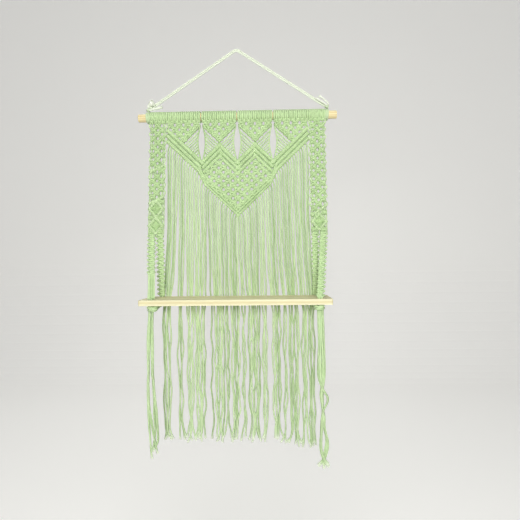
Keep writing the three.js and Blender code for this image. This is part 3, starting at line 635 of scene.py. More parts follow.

# %% [markdown]
# The loose ends belong to the hanging cord.


# %% [markdown]
# Each end of the hanging cord goes twice round the dowel and is knotted on top of it.
# The turns are a helix; the knot is three tight loops over each other.

# %% Turns round the dowel and the knots on it
WRAP_TURNS = 2.1
WRAP_PITCH = 4.4 * MM
WRAP_SEAT = 0.45 * MM
WRAP_INWARDS = 0.6 * MM
WRAP_CORD = 2.3 * MM
WRAP_RINGS = 90
WRAP_TONE = 0.8
WRAP_WORN, KNOT_WORN = 0.2, 0.35
LOOP_RINGS = 40
LOOP_TILTS = np.array([-0.5, 0.15, 0.9])[:, None]
LOOP_INSIDE = 1.6 * MM
LOOP_STEP = 1.5 * MM
for word, side in SIDE_WORDS:
    t = np.linspace(-0.5, 0.5, WRAP_RINGS)
    angle = 2 * np.pi * WRAP_TURNS * t + np.pi / 2
    ring = dowel_radius + WRAP_SEAT + HANGER_DIAMETER / 2
    run = side * (wrap_x - WRAP_INWARDS + t * WRAP_TURNS * WRAP_PITCH)
    helix = np.stack([run, ring * np.sin(angle), axis_z + ring * np.cos(angle)], 1)
    turns = cords(f"wrap_{word}", [(helix, WRAP_CORD, HANGER_SIDES, WRAP_WORN)], tone=WRAP_TONE)
    finish_cord(turns, "hanger", f"hanger_wrap_{word}")
    angle = np.linspace(0, 2 * np.pi, LOOP_RINGS)
    loop = KNOT_RADIUS - LOOP_INSIDE
    x = loop * np.cos(angle) * np.cos(LOOP_TILTS) + LOOP_TILTS * LOOP_STEP
    y = loop * np.sin(angle) + 0 * LOOP_TILTS
    z = loop * np.cos(angle) * np.sin(LOOP_TILTS) + LOOP_TILTS * LOOP_STEP
    knot_loops = np.stack([x + side * wrap_x, y, z + knot_z], -1)
    group = (knot_loops, HANGER_DIAMETER / 2, HANGER_SIDES, KNOT_WORN)
    finish_cord(cords(f"dowel_knot_{word}", [group], tone=WRAP_TONE), "hanger", f"hanger_knot_{word}")

# %% [markdown]
# ## The dowel
# A turned rod could be a plain cylinder, but its ends are eased with sandpaper. Its
# surface is a radius given by the place along the rod, carried round the axis, and it
# takes part in the cord tool as a very thick, stiff cord.

# %% Dowel
EASED = 1.4 * MM
EASED_RINGS = 8
ROD_RINGS = 60
ROD_SIDES = 48


def dowel_surface(low, high, radius):
    """radius(s) is full along the rod and falls on a quarter circle at each end."""
    end = np.linspace(0, 1, EASED_RINGS) ** 2 * EASED
    middle = np.linspace(EASED, high - low - EASED, ROD_RINGS)[1:-1]
    s = np.concatenate([end, middle, high - low - end[::-1]])
    inset = np.maximum(0, EASED - np.minimum(s, high - low - s))
    r = radius - EASED + np.sqrt(np.maximum(EASED**2 - inset**2, 0))
    path = np.stack([low + s, 0 * s, axis_z + 0 * s], 1)
    return path, np.minimum(r, radius)


path, profile = dowel_surface(dowel_low[0], dowel_high[0], dowel_radius)
dowel = cords("pine_dowel", [(path, profile[None], ROD_SIDES)])
dowel.data.materials.append(dowel_finish)
put(dowel, "panel", "dowel", slot="dowel_pine")

# %% [markdown]
# ## Lark's heads
# Each cord is folded in half, its fold laid against the dowel's front, and its two ends
# are brought over the top, down the back and forward under the rod, and then down behind
# the fold. From the front the fold is a short bar with two ends hanging from under it.
# The head could be copied as an object, but here all heads of a row are one array.

# %% Lark's heads on the dowel
HEAD_RADIUS = 2.9 * MM
KNOTTED_TONE = 0.7
FRONT_HANG = 6 * MM
FRONT_FADE = 7 * MM
head_ring = dowel_radius + GAP + RADIUS
BAR_ANGLE = np.radians(-52)
BAR_WIDER = 1.1
BAR_LIFT = 1.2 * MM
HEAD_START = np.radians(302)
HEAD_STEPS = 26
HEAD_RINGS = 96
HEADS_IN_BAND = 4
HEAD_OVERLAP = 1.5 * MM
ENDS_BEND = np.array([0, -1, 3]) * MM
BAR_END = np.array([0.9, -0.4, -1.4]) * MM
BAR_BOW = np.array([0.6, 0.5]) * MM
ROW_WIDER = 0.7 * MM


def heads(centres, end_z, pitch):
    """One path a head: up from the left end, round the dowel, the bar, round the dowel
    again and down to the right end. The second half mirrors the first."""
    turn = np.linspace(HEAD_START, BAR_ANGLE, HEAD_STEPS)
    last_quarter = np.clip(np.linspace(0, 1, HEAD_STEPS) * 4 - 3, 0, 1)
    out = pitch / 4 * (1 + (BAR_WIDER - 1) * last_quarter)
    lift = BAR_LIFT * last_quarter
    loop = np.stack([-out, -(head_ring + lift) * np.cos(turn), (head_ring + lift) * np.sin(turn)], 1)
    foot = np.array([-pitch / 4, -FRONT_HANG, end_z])
    bar_low = loop[-1] + BAR_END
    middle = np.array([[0, *(bar_low[1:] - BAR_BOW)]])
    half = np.concatenate([[foot, foot + ENDS_BEND], loop, bar_low[None]])
    whole = np.concatenate([half, middle, half[::-1] * (-1, 1, 1)])
    line = smooth(whole, HEAD_RINGS)
    return line[None] + np.stack([centres, 0 * centres, axis_z + 0 * centres], 1)[:, None]


def from_front(groups):
    """y' = y - hang exp(-(drop - top) / fade): nets start at the dowel's front and settle under it."""
    moved = []
    for paths, *rest in groups:
        paths = np.array(paths, float)
        drop = np.maximum(axis_z - paths[..., 2] - net_top, 0)
        paths[..., 1] -= FRONT_HANG * np.exp(-drop / FRONT_FADE)
        moved.append((paths, *rest))
    return moved


def head_row(name, node, count):
    """A row of count heads over the width of its solid, as one piece."""
    low, high = box(node)
    pitch = (high[0] - low[0] + ROW_WIDER) / count
    centres = (low[0] + high[0]) / 2 + (np.arange(count) + 0.5 - count / 2) * pitch
    rows = [(heads(centres, -net_top - HEAD_OVERLAP, pitch), HEAD_RADIUS)]
    finish_cord(cords(name, rows, tone=KNOTTED_TONE), "panel", node)


for word, _ in SIDE_WORDS:
    head_row(f"lark_heads_band_{word}", f"heads_band_{word}", HEADS_IN_BAND)
for number in SECTIONS:
    head_row(f"lark_heads_{number}", f"heads_section_{number}", HEADS_IN_SECTION)

# %% [markdown]
# ## The square knot
# Two cords stay straight in the middle and two work round them. One working cord crosses
# the front from left to right and comes back, and the other crosses behind and shows
# at the left as a short upright loop over the first. Those two crossings and the loop are
# what makes the knot look like one, so both cords are given point by point, in shares of
# the knot's half width and height, and every net, band and leg below repeats them.

# %% Square knots
KNOT_FRONT = np.array([
    (-1, 0, 0), (-0.86, -0.4, -0.14), (-0.55, -0.85, -0.27), (0, -1, -0.34), (0.5, -0.68, -0.38),
    (0.8, 0.05, -0.44), (0.86, 0.15, -0.5), (0.8, 0.05, -0.56), (0.5, -0.68, -0.62), (0, -1, -0.66),
    (-0.55, -0.85, -0.73), (-0.86, -0.4, -0.86), (-1, 0, -1)])
KNOT_BEHIND = np.array([
    (1, 0, 0), (0.95, -0.6, -0.14), (0.9, -1, -0.27), (0.85, -0.7, -0.37), (0.62, 0.5, -0.42),
    (0, 1, -0.4), (-0.62, 0.5, -0.38), (-0.86, -0.55, -0.38), (-0.93, -1.05, -0.44), (-0.93, -1.12, -0.5),
    (-0.93, -1.05, -0.56), (-0.86, -0.55, -0.62), (-0.62, 0.5, -0.62), (0, 1, -0.6), (0.62, 0.5, -0.58),
    (0.85, -0.7, -0.63), (0.9, -1, -0.73), (0.95, -0.6, -0.86), (1, 0, -1)])
KNOT_CORE = np.array([(0.47, 0, 0), (0.28, -0.45, -0.16), (0.26, 0, -0.5), (0.28, -0.45, -0.84), (0.47, 0, -1)])
FRONT_RINGS, BEHIND_RINGS, CORE_RINGS = 26, 38, 9
KNOT_CORD = 2.55 * MM
# Painted shade: cords that lie behind a knot's front passes have their tone lowered by this.
PAINTED_SHADE_BEHIND = -0.4


def square_knots(middles, half_width, height, depth, pitch, flip=False, radius=KNOT_CORD):
    """Groups of paths for knots with the given middles (n, 3). Between two rows the cords
    are evenly spaced, so they enter and leave at one and three eighths of the pitch."""
    turned = np.array([-1 if flip else 1, 1, 1])
    scale = np.array([half_width, depth, height])
    middles = np.atleast_2d(middles)[:, None] + (0, 0, height / 2)
    groups = []
    for shape, foot, count in ((KNOT_FRONT, -1, FRONT_RINGS), (KNOT_BEHIND, 1, BEHIND_RINGS)):
        line = shape * scale
        line[[0, -1], 0] = foot * pitch * 3 / 8
        groups.append((middles + smooth(line, count) * turned, radius, KNOT_SIDES))
    core = KNOT_CORE * scale
    core[[0, -1], 0] = pitch / 8
    straight = smooth(core, CORE_RINGS)
    # The two core cords lie behind the working cords and are painted darker as painted shade.
    for hand in (-1, 1):
        groups.append((middles + straight * (hand, 1, 1), radius, KNOT_SIDES, None, PAINTED_SHADE_BEHIND))
    return groups


# %% [markdown]
# In a net the rows step sideways by half a pitch, so each knot takes two cords from
# either knot above it. The knots are a little taller than a row, and their cords meet
# those of the next row, which leaves only the small round holes between four knots.

# %% Nets of square knots
NET_PITCH = 2 * head_pitch
NET_ROW = 11 * MM
NET_DEPTH = 2.7 * MM
TALLER = 1.28
KNOT_WIDER = 1.2 * MM


def net_half(pitch):
    """Half a knot's width: a quarter of the pitch and a little more, so that knots touch."""
    return pitch / 4 + KNOT_WIDER


def net_spots(centre):
    """Middles of the rows of four, three, two and one knots under a section."""
    spots = []
    for row, knots in enumerate((4, 3, 2, 1)):
        x = centre + (np.arange(knots) - (knots - 1) / 2) * NET_PITCH
        spots.append(np.stack([x, 0 * x, 0 * x + axis_z - net_top - (row + 0.5) * NET_ROW], 1))
    return np.concatenate(spots)


print(f"{len(net_spots(0))} knots in each triangle")

# %% [markdown]
# ## Hitched ridges
# A diagonal half hitch winds a hanging cord twice round a slanted one. A row of them
# reads as a band of close, slightly leaning turns that press into each other, so each arm
# is a helix round its holding cord, flattened to the ridge's height, of a cord a little
# thicker than its turns are apart. Every second turn is wider apart, because that is
# where one cord ends and the next begins.

# %% Ridges of half hitches
RIDGE_DEPTH = 3.2 * MM
TURN_PITCH = 3.75 * MM
PRESSED = 2.7 * MM
RIDGE_OVERLAP = 0.5 * MM
TURN_STEPS = 14
PAIRED = 0.08


def hitch_line(start, end, half_start, half_end, hand=1, past=(0, 0), cord=RADIUS, lighter=0.0):
    """Places = line + across * height * cos a + out * depth * sin a, with a growing along it.
    past is how far the line runs on beyond each of its ends."""
    start, end = np.asarray(start, float), np.asarray(end, float)
    way = (end - start) / np.linalg.norm(end - start)
    start, end = start - way * past[0], end + way * past[1]
    length = np.linalg.norm(end - start)
    turns = max(2, int(round(length / TURN_PITCH)))
    t = np.linspace(0, 1, turns * TURN_STEPS + 1)
    along = (end - start) / length
    across = np.cross((0, 1, 0), along)
    across = across / np.linalg.norm(across) * (1 if across[2] > 0 else -1)
    a = 2 * np.pi * turns * t
    half = (half_start + (half_end - half_start) * t)[:, None]
    paired = PAIRED * TURN_PITCH / length * np.sin(a / 2)
    spine = start + (end - start) * (t + paired)[:, None]
    outwards = np.array([0, hand * RIDGE_DEPTH, 0])
    line = spine + across * half * np.cos(a)[:, None] + outwards * np.sin(a)[:, None]
    core = start + (end - start) * np.linspace(0, 1, 5)[:, None]
    # Painted light: the hitch's turns get the given amount added to their tone; painted shade: the holding cord
    # inside, which lies behind them, is painted darker.
    return [(line, cord, KNOT_SIDES, None, lighter), (core, RADIUS, KNOT_SIDES, None, PAINTED_SHADE_BEHIND)]


def arms(xs, middle_of, half_of, hand_of):
    """Hitched arms from corner to corner of a bent line. Each runs on past an inner corner
    by half its own height, cord and all, so that two arms cross there and leave no hole."""
    groups = []
    for a, b in zip(xs[:-1], xs[1:]):
        start, end = (a, 0, float(middle_of(a))), (b, 0, float(middle_of(b)))
        past = [0 if x in (xs[0], xs[-1]) else 0.9 * (float(half_of(x)) + PRESSED) for x in (a, b)]
        halves = float(half_of(a)), float(half_of(b))
        groups += hitch_line(start, end, *halves, hand_of((a + b) / 2), past=past, cord=PRESSED)
    return groups


lean = 1 / np.hypot(1, arm_slope)
hand_of = lambda x: 1 if x < 0 else -1

upper_xs = np.array([-panel_half, -section_pitch, -half_pitch, 0, half_pitch, section_pitch, panel_half])
upper_half = UPPER_RIDGE * lean / 2 - PRESSED + RIDGE_OVERLAP
upper = arms(upper_xs, lambda x: groove_z(x) + UPPER_RIDGE / 2, lambda x: upper_half, hand_of)
ridge = cords("hitches_upper", upper, tone=KNOTTED_TONE)
finish_cord(ridge, "panel", "zigzag_ridge_upper")

inner_half = INNER_RIDGE * lean / 2 - PRESSED + RIDGE_OVERLAP
for row in (0, 1):
    reach = float(box(f"zigzag_ridge_inner_{row + 1}")[1][0]) - 2 * MM
    xs = np.array([-reach, -half_pitch, 0, half_pitch, reach])
    if row == 0:
        xs = np.array([-section_pitch, -half_pitch, 0, half_pitch, section_pitch])
    middle = lambda x, row=row: groove_z(x) - (row + 0.5) * INNER_RIDGE
    inner = arms(xs, middle, lambda x: inner_half, hand_of)
    ridge = cords(f"hitches_inner_{row + 1}", inner, tone=KNOTTED_TONE)
    finish_cord(ridge, "panel", f"zigzag_ridge_inner_{row + 1}")


def border_height(x):
    """Height of one line of the V's border: from the tip's to the corner's along the arm,
    then over the corner to the ridges' own."""
    out = np.abs(x)
    lower = TIP_RIDGE + (CORNER_RIDGE - TIP_RIDGE) * np.minimum(out, arm_x) / arm_x
    share = np.clip((out - arm_x) / (corner_x - arm_x), 0, 1)
    return lower + (INNER_RIDGE - CORNER_RIDGE) * share


border_xs = np.array([-panel_half, -corner_x, -arm_x, 0, arm_x, corner_x, panel_half])
for row in (0, 1):
    middle = lambda x, row=row: border_z(x) + (1.5 - row) * border_height(x)
    half = lambda x: border_height(x) * lean / 2 - PRESSED + RIDGE_OVERLAP
    ridge = cords(f"border_hitches_{row + 1}", arms(border_xs, middle, half, hand_of), tone=KNOTTED_TONE)
    finish_cord(ridge, "panel", f"v_border_{row + 1}")

# %% [markdown]
# Each triangle of knots is shut in by a thinner line of hitches wherever a fan meets it.
# The outer sides of the first and last triangle lie on the ridge itself and need none.

# %% Triangles of knots with their hitched sides
SIDE_LINE = 6.4 * MM
SIDE_IN = 1.5 * MM
UNDER_HEADS = 1.2 * MM
for number, centre in zip(SECTIONS, section_centres):
    groups = square_knots(net_spots(centre), net_half(NET_PITCH), NET_ROW * TALLER, NET_DEPTH, NET_PITCH)
    fold = axis_z - PEAK_DROP + UPPER_RIDGE + SIDE_LINE / 2 / lean - SIDE_IN
    for side in (-1, 1):
        if (number, side) in ((1, -1), (4, 1)):
            continue
        run = section_width / 2 - SIDE_IN
        low = (centre, 0, fold)
        high = (centre + side * run, 0, min(fold + run * arm_slope, axis_z - net_top - UNDER_HEADS))
        half = SIDE_LINE / 2 - RADIUS
        groups += hitch_line(high, low, half, half, -side, past=(0, 2 * MM))
    net = cords(f"square_knots_{number}", from_front(groups), tone=KNOTTED_TONE)
    finish_cord(net, "panel", f"triangle_net_{number}")

# %% [markdown]
# ## The centre field
# The heart between the ridges is filled with square knots in rows that step half a knot
# sideways, so that every four knots leave a small round hole.

# %% Centre field
FIELD_PITCH = 23.6 * MM
FIELD_ROW = 11 * MM
FIELD_LOWEST = 35.7 * MM
UNDER_RIDGE, UNDER_BORDER, PAST_ARM = 6 * MM, 5 * MM, 5 * MM
low, high = box("centre_net")
rows = np.arange(-3, int((high[2] - low[2]) / FIELD_ROW) + 1)
columns = np.arange(-5, 5)
row_grid, column_grid = np.meshgrid(rows, columns, indexing="ij")
x = (column_grid + (row_grid % 2) / 2 + 0.5) * FIELD_PITCH
z = axis_z - TIP_DROP + FIELD_LOWEST + row_grid * FIELD_ROW
top_room = groove_z(x) - 2 * INNER_RIDGE - z
low_room = z - border_z(x) - 2 * border_height(x)
keep = (top_room > -UNDER_RIDGE) & (low_room > -UNDER_BORDER) & (np.abs(x) < arm_x + PAST_ARM)
spots = np.stack([x[keep], 0 * x[keep], z[keep]], 1)
print(f"centre field: {len(spots)} knots")
field = square_knots(spots, net_half(FIELD_PITCH), FIELD_ROW * TALLER, NET_DEPTH, FIELD_PITCH)
finish_cord(cords("field_knots", field, tone=KNOTTED_TONE), "panel", "centre_net")

# %% [markdown]
# ## Fans
# Beside each slit the cords run free. One cord follows the slit's edge, and seven turn
# off it towards the ridge, all parallel to the edge of the triangle of knots.

# %% Fans beside the slits
RIBS = 7
FIRST_RIB = 4.6 * MM
RIB_STEP = 4.4 * MM
SLIT_HALF = 7.8 * MM
SLIT_END_HALF = 2.2 * MM
RIB_SAG = 0.7 * MM
RIB_START = 2 * MM
RIB_THINNER = 0.95
RIB_OUT, EDGE_OUT = 0.4 * MM, 0.6 * MM
SLIT_FOOT, SLIT_HEAD = 3.8 * MM, 2 * MM
EDGE_BELOW, EDGE_ABOVE = 5 * MM, 6 * MM


def fan(name, node, centre, side):
    """Drawn for a slit on the section's right, then mirrored by side. Rib = start + way t,
    with a slight sag of a sine; the edge follows the slit, which is a sine as well."""
    fold = axis_z - PEAK_DROP + UPPER_RIDGE
    low_z = fold - (half_pitch - SLIT_END_HALF) * arm_slope + SLIT_FOOT
    high_z = fold + section_width / 2 * arm_slope - SLIT_HEAD
    bow = lambda z: (SLIT_HALF - SLIT_END_HALF) * np.sin(np.pi * (z - low_z) / (high_z - low_z))
    slit = lambda z: half_pitch - RADIUS - SLIT_END_HALF - bow(z)
    z = np.linspace(low_z - EDGE_BELOW, high_z + EDGE_ABOVE, 40)
    edge = np.stack([slit(np.clip(z, low_z, high_z)), 0 * z - EDGE_OUT, z], 1)
    foot = FIRST_RIB + np.arange(RIBS) * RIB_STEP
    head = foot + 0.6 * (half_pitch - foot)
    # a rib ends on the slit, which bends, so its end is found in a few rounds
    for _ in range(8):
        head = slit(np.clip(fold + (head - 2 * foot) * arm_slope, low_z, high_z))
    start = np.stack([foot - RIB_START, 0 * foot, fold - (foot + RIB_START) * arm_slope], 1)
    end = np.stack([head, 0 * head - RIB_OUT, fold + (head - 2 * foot) * arm_slope], 1)
    t = np.linspace(0, 1, 14)[None, :, None]
    ribs = start[:, None] + (end - start)[:, None] * t
    ribs[..., 2] -= RIB_SAG * np.sin(np.pi * t[..., 0])
    place = np.array([centre, 0, 0])
    drawn = ((edge, RADIUS), (ribs, RIB_THINNER * RADIUS))
    groups = [(paths * (side, 1, 1) + place, radius) for paths, radius in drawn]
    finish_cord(cords(name, groups), "panel", node)


for slit in (1, 2, 3):
    fan(f"fan_{slit}_left", f"slit_{slit}_left_fan", section_centres[slit - 1], 1)
    fan(f"fan_{slit}_right", f"slit_{slit}_right_fan", section_centres[slit], -1)

# %% [markdown]
# ## Side bands
# Each outer band is eight cords wide and leans forward to the point where it parts. Its
# knots are worked in an upright frame of their own and then leant as whole arrays. Full
# rows hold two knots side by side. Between them a single knot joins the inner cords,
# while the outer pairs pass it in a small loop, and no two loops are quite alike.

# %% The bands' leaning frame
BAND_SPLIT = 295 * MM
BAND_FORWARD = 36 * MM
band_centre = middle_x("heads_band_right")
lean_angle = np.arctan2(BAND_FORWARD, BAND_SPLIT)


def leant(groups, side):
    """x' = x + the band's centre; y' = y cos a + z sin a; z' = z cos a - y sin a."""
    c, s = np.cos(lean_angle), np.sin(lean_angle)
    moved = []
    for paths, *rest in groups:
        paths = np.asarray(paths, float)
        x, y, z = paths[..., 0], paths[..., 1], paths[..., 2]
        moved.append((np.stack([x + side * band_centre, y * c + z * s, axis_z + z * c - y * s], -1), *rest))
    return moved


BAND_HALF_ROW = 10.5 * MM
BAND_PITCH = 2 * BAND_HALF_ROW
BAND_DEPTH = 2.9 * MM
BAND_CORD = 2.2 * MM
BAND_TONE = 0.55
# drops along each band, in millimetres: knots at the middle, pairs of knots at both
# sides, lone knots at the left and right side
BAND_ROWS = {
    "left": ((22.3, 42.7, 65.0, 86.7, 108.5, 129.0, 153.0, 174.0, 194.0),
             (32.5, 54.0, 76.0, 97.5, 163.5, 184.0), (118.5, 204.0), (137.0,)),
    "right": ((18.6, 37.0, 57.5, 79.5, 101.5, 122.3, 143.3, 164.0, 185.5, 207.0, 228.0),
              (27.8, 47.5, 68.5, 90.5, 112.0, 133.0, 153.5, 175.0, 196.3), (218.0, 238.0), (216.0,)),
}
LOOP_REACH = 4.6 * MM
BAND_RINGS = 240
CORDS_BEHIND = 1.2 * MM
LOOPS_FORWARD = 0.9
# place at rest, how far out it goes beside inner knots, least and most, and beside outer knots
CORD_LINES = np.array([(2.6, -0.8, -0.8, 2.0), (7.9, -3.4, -3.4, 0.6),
                       (13.1, 0.8, 1.9, -1.2), (18.2, 1.6, 3.2, -1.6)]) * MM
# Painted shade and light: the two inner cords, which lie behind the knots, are painted darker, and the two
# outer ones, which loop forward, are painted lighter.
BAND_CORD_LIGHT_AND_SHADE = np.array([-0.6, -0.5, 0.1, 0.7])
loop_sizes = np.random.default_rng(5)


def band_cords(inner, outer):
    """Eight cords down the whole band. A cord's place is its own, plus the sum over the knots
    beside it of a_k exp(-(d_k / reach)^2), with d_k the drop from knot k."""
    drop = np.linspace(net_top - 1 * MM, BAND_SPLIT + 4 * MM, BAND_RINGS)
    near_inner, near_outer = (np.exp(-(((drop[:, None] - rows) / LOOP_REACH) ** 2))
                              for rows in (inner, outer))
    paths = []
    for hand in (-1, 1):
        for rest, least, most, pinch in CORD_LINES:
            bow = near_inner @ (least + (most - least) * loop_sizes.uniform(0, 1, len(inner)))
            x = hand * (rest + bow + near_outer.sum(1) * pinch)
            paths.append(np.stack([x, CORDS_BEHIND - LOOPS_FORWARD * np.maximum(bow, 0), -drop], 1))
    return (np.stack(paths), RADIUS, KNOT_SIDES, None, np.tile(BAND_CORD_LIGHT_AND_SHADE, 2))


def in_rows(x, drops):
    """Middles at the place x and at the given drops."""
    return np.stack([np.broadcast_to(x, drops.shape), 0 * drops, -drops], 1)


for word, side in SIDE_WORDS:
    inner, outer, lone_left, lone_right = (np.array(rows) * MM for rows in BAND_ROWS[word])
    middles = [in_rows(0.0, inner), in_rows(-BAND_HALF_ROW, lone_left), in_rows(BAND_HALF_ROW, lone_right)]
    middles += [in_rows(x, outer) for x in (-BAND_HALF_ROW, BAND_HALF_ROW)]
    height = BAND_HALF_ROW * TALLER
    spots = np.concatenate(middles)
    groups = square_knots(spots, net_half(BAND_PITCH), height, BAND_DEPTH, BAND_PITCH, radius=BAND_CORD)
    pairs = np.sort(np.concatenate([outer, lone_left, lone_right]))
    groups = from_front(leant(groups + [band_cords(inner, pairs)], side))
    finish_cord(cords(f"band_knots_{word}", groups, tone=BAND_TONE), "panel", f"band_net_{word}")

# %% [markdown]
# Slanted lines of hitches cross the bands, two on the left and one on the right, and
# under them come filled diamonds, two and one again. A diamond is a few square knots
# shut in by hitches that cross at its corners, and small knots fill the rest.
# The hitches, which stand forward, get painted light, and the knots inside a diamond, which lie back, get
# painted shade.

# %% Slanted hitches and diamonds on the bands
DIAGONALS = {"left": ((142, 125), (222.5, 204)), "right": ((258, 231),)}
DIAMOND_DROPS = {"left": (235, 277), "right": (272,)}
SIDE_KNOTS = {"left": ((12.5, 217), (-12.8, 256), (12.8, 256), (-11, 291), (11, 291)),
              "right": ((12.5, 249), (-11.5, 290), (11.5, 290), (-13.5, 254))}
DIAMOND_HALF = np.array([16.8, 0, 20.5]) * MM
DIAMOND_PITCH = 13 * MM
HITCH_HALF = 2.4 * MM
EDGE_IN = 1.5 * MM
HITCHES_FORWARD = 2.4 * MM
# Painted light on the hitches, which stand forward, and painted shade on the knots inside a diamond, which lie
# back.
PAINTED_HITCH_LIGHT, PAINTED_HOLLOW_SHADE = 0.5, -0.5
INNER_KNOTS = np.array([(0, 3, 9.5), (-5.6, 3, 2), (5.6, 3, 2), (0, 3, -1.6), (0, 3, -8.5), (0, 3, 3.6)]) * MM
# half width, height and depth of a knot inside a diamond and of one beside it, and their cords
INNER_KNOT, INNER_CORD = (5.6 * MM, 8.5 * MM, 2 * MM), 2.1 * MM
SIDE_KNOT, SIDE_CORD = (6.4 * MM, 11 * MM, BAND_DEPTH), 1.9 * MM
band_low, band_high = box("heads_band_right")
band_half_width = (band_high[0] - band_low[0]) / 2


def diamond(drop):
    """Four hitched sides that run on past the corners, with painted light, and six small knots inside, with
    painted shade.
    """
    w, h = DIAMOND_HALF[0], DIAMOND_HALF[2]
    middle = np.array([0, -HITCHES_FORWARD, -drop])
    corners = [middle + v for v in ((0, 0, h), (w, 0, 0), (0, 0, -h), (-w, 0, 0))]
    groups = []
    for k in range(4):
        past = (2 * MM, 0) if k % 2 else (0, 2 * MM)
        turn = 1 if k % 2 else -1
        ends = corners[k], corners[(k + 1) % 4]
        groups += hitch_line(*ends, HITCH_HALF, HITCH_HALF, turn, past, lighter=PAINTED_HITCH_LIGHT)
    inside = square_knots(middle + INNER_KNOTS, *INNER_KNOT, DIAMOND_PITCH, radius=INNER_CORD)
    return groups + [(paths, radius, KNOT_SIDES, None, PAINTED_HOLLOW_SHADE) for paths, radius, *_ in inside]


for word, side in SIDE_WORDS:
    groups = []
    for left, right in DIAGONALS[word]:
        out = band_half_width - EDGE_IN
        ends = [(-out, -HITCHES_FORWARD, -left * MM), (out, -HITCHES_FORWARD, -right * MM)]
        groups += hitch_line(*ends, HITCH_HALF, HITCH_HALF, lighter=PAINTED_HITCH_LIGHT)
    for drop in DIAMOND_DROPS[word]:
        groups += diamond(drop * MM)
    beside = np.array([(x, 0, -drop) for x, drop in SIDE_KNOTS[word]]) * MM
    groups += square_knots(beside, *SIDE_KNOT, DIAMOND_PITCH, radius=SIDE_CORD)
    diamonds = cords(f"band_diamonds_and_hitches_{word}", leant(groups, side), tone=KNOTTED_TONE)
    finish_cord(diamonds, "panel", f"band_diamonds_{word}")

# %% [markdown]
# ## Legs
# Under the diamonds each band parts into two braids of square knots, one to the front
# hole of the board and one to the back hole. They are the same knot as in the net, one
# right under the other, and drawn in between them, which scallops the braid's edges. The
# lowest part of the left front leg was left unknotted, as six cords side by side. Each
# braid gets its own axes: down along its line, sideways along X, and outwards across both.

# %% Braided legs
LEG_SPREAD = 10.3 * MM
LEG_KNOT = 10.6 * MM
LEG_TALLER = 1.12
LEG_HALF = 9.2 * MM
LEG_DEPTH = 2.9 * MM
LEG_CORD = 2.1 * MM
LEG_TONE = 0.85
DRAWN_IN = 0.5
LEG_LOOSE = 62 * MM
LOOSE_WAIST = 0.12
LOOSE_LAP = 1.1
NECK, NECK_DRAWN = 3.4, 0.9
UNDER_SPLIT, OVER_BOARD = 0.6 * MM, 2.5 * MM
LOOSE_TONES = np.array([0.95, 0.1, -0.7, -0.2, -0.6, 0.8])
LOOSE_LINES = np.array([(-7.2, 0.3), (-4.4, -0.4), (-1.5, -0.6), (1.5, -0.6), (4.4, -0.4), (7.2, 0.3)])
board_low, board_high = box("shelf_board")
HOLE_X = 192 * MM
HOLE_IN = 10 * MM
front_hole = board_low[1] + HOLE_IN
back_hole = board_high[1] - HOLE_IN
print(f"holes at y {front_hole * 1000:.0f} and {back_hole * 1000:.0f} mm")


def along_line(groups, start, end):
    """Place = start + x across + y out + z times the direction from end to start."""
    down = (np.asarray(end) - start) / np.linalg.norm(np.asarray(end) - start)
    across = np.array([1.0, 0, 0]) - down * down[0]
    across /= np.linalg.norm(across)
    out = np.cross(across, down)
    out = out if out[1] > 0 else -out
    return [(start + p[..., :1] * across + p[..., 1:2] * out - p[..., 2:] * down, *rest)
            for p, *rest in ((np.asarray(g[0], float), *g[1:]) for g in groups)]


def braid(start, end, foot, flip, loose):
    """Knots one under the other, x' = x (1 - drawn in * cos^2(pi knots)), down to the loose
    length, where six cords lie side by side. Then the cords go through the board's hole."""
    length = np.linalg.norm(np.asarray(end) - start)
    knots = int(round((length - loose) / LEG_KNOT))
    height = (length - loose) / knots
    middles = np.stack([np.zeros(knots), np.zeros(knots), -(np.arange(knots) + 0.5) * height], 1)
    knotted = square_knots(middles, LEG_HALF, height * LEG_TALLER, LEG_DEPTH, 2 * LEG_HALF, flip, LEG_CORD)
    for paths, *_ in knotted:
        paths[..., 0] *= 1 - DRAWN_IN * np.cos(np.pi * paths[..., 2] / height) ** 2
    if loose:
        t = np.linspace(0, 1, 16)[None]
        x = LOOSE_LINES[:, :1] * (1 - LOOSE_WAIST * np.sin(np.pi * t)) * MM
        y = LOOSE_LINES[:, 1:] * (1 + 0 * t) * MM
        z = 0 * y - length + loose * (LOOSE_LAP - LOOSE_LAP * t)
        knotted.append((np.stack([x, y, z], -1), RADIUS, KNOT_SIDES, None, LOOSE_TONES))
    around = np.arange(4) * np.pi / 2 + np.pi / 4
    ring = np.stack([np.cos(around), np.sin(around), 0 * around], 1)[:, None]
    t = np.linspace(0, 1, 8)[None, :, None]
    neck = np.asarray(end) + (np.asarray(foot) - end) * t + ring * (NECK - NECK_DRAWN * np.sqrt(t)) * MM
    return along_line(knotted, start, end) + [(neck, RADIUS)]


for word, side in SIDE_WORDS:
    for place, hole, hand in (("front", front_hole, 1), ("back", back_hole, -1)):
        leg_x = side * (band_centre + hand * LEG_SPREAD)
        start = np.array([leg_x, -BAND_FORWARD, axis_z - BAND_SPLIT - UNDER_SPLIT])
        end = np.array([side * HOLE_X, hole, board_high[2] + OVER_BOARD])
        foot = np.array([side * HOLE_X, hole, board_low[2] - (3 if place == "front" else 0.5) * MM])
        loose = LEG_LOOSE if (word, place) == ("left", "front") else 0
        leg = cords(f"braid_{place}_{word}", braid(start, end, foot, side > 0, loose), tone=LEG_TONE)
        finish_cord(leg, "shelf", f"leg_{place}_{word}")

# %% [markdown]
# ## Under the board
# The back braid's cords run forward under the board and all the cords of a side are
# tied in one thick knot under the front hole. The bundle is four cords laid round each
# other. The knot is drawn up flat against the board: wide, nearly level loops over a
# filling, with two more that cross them.

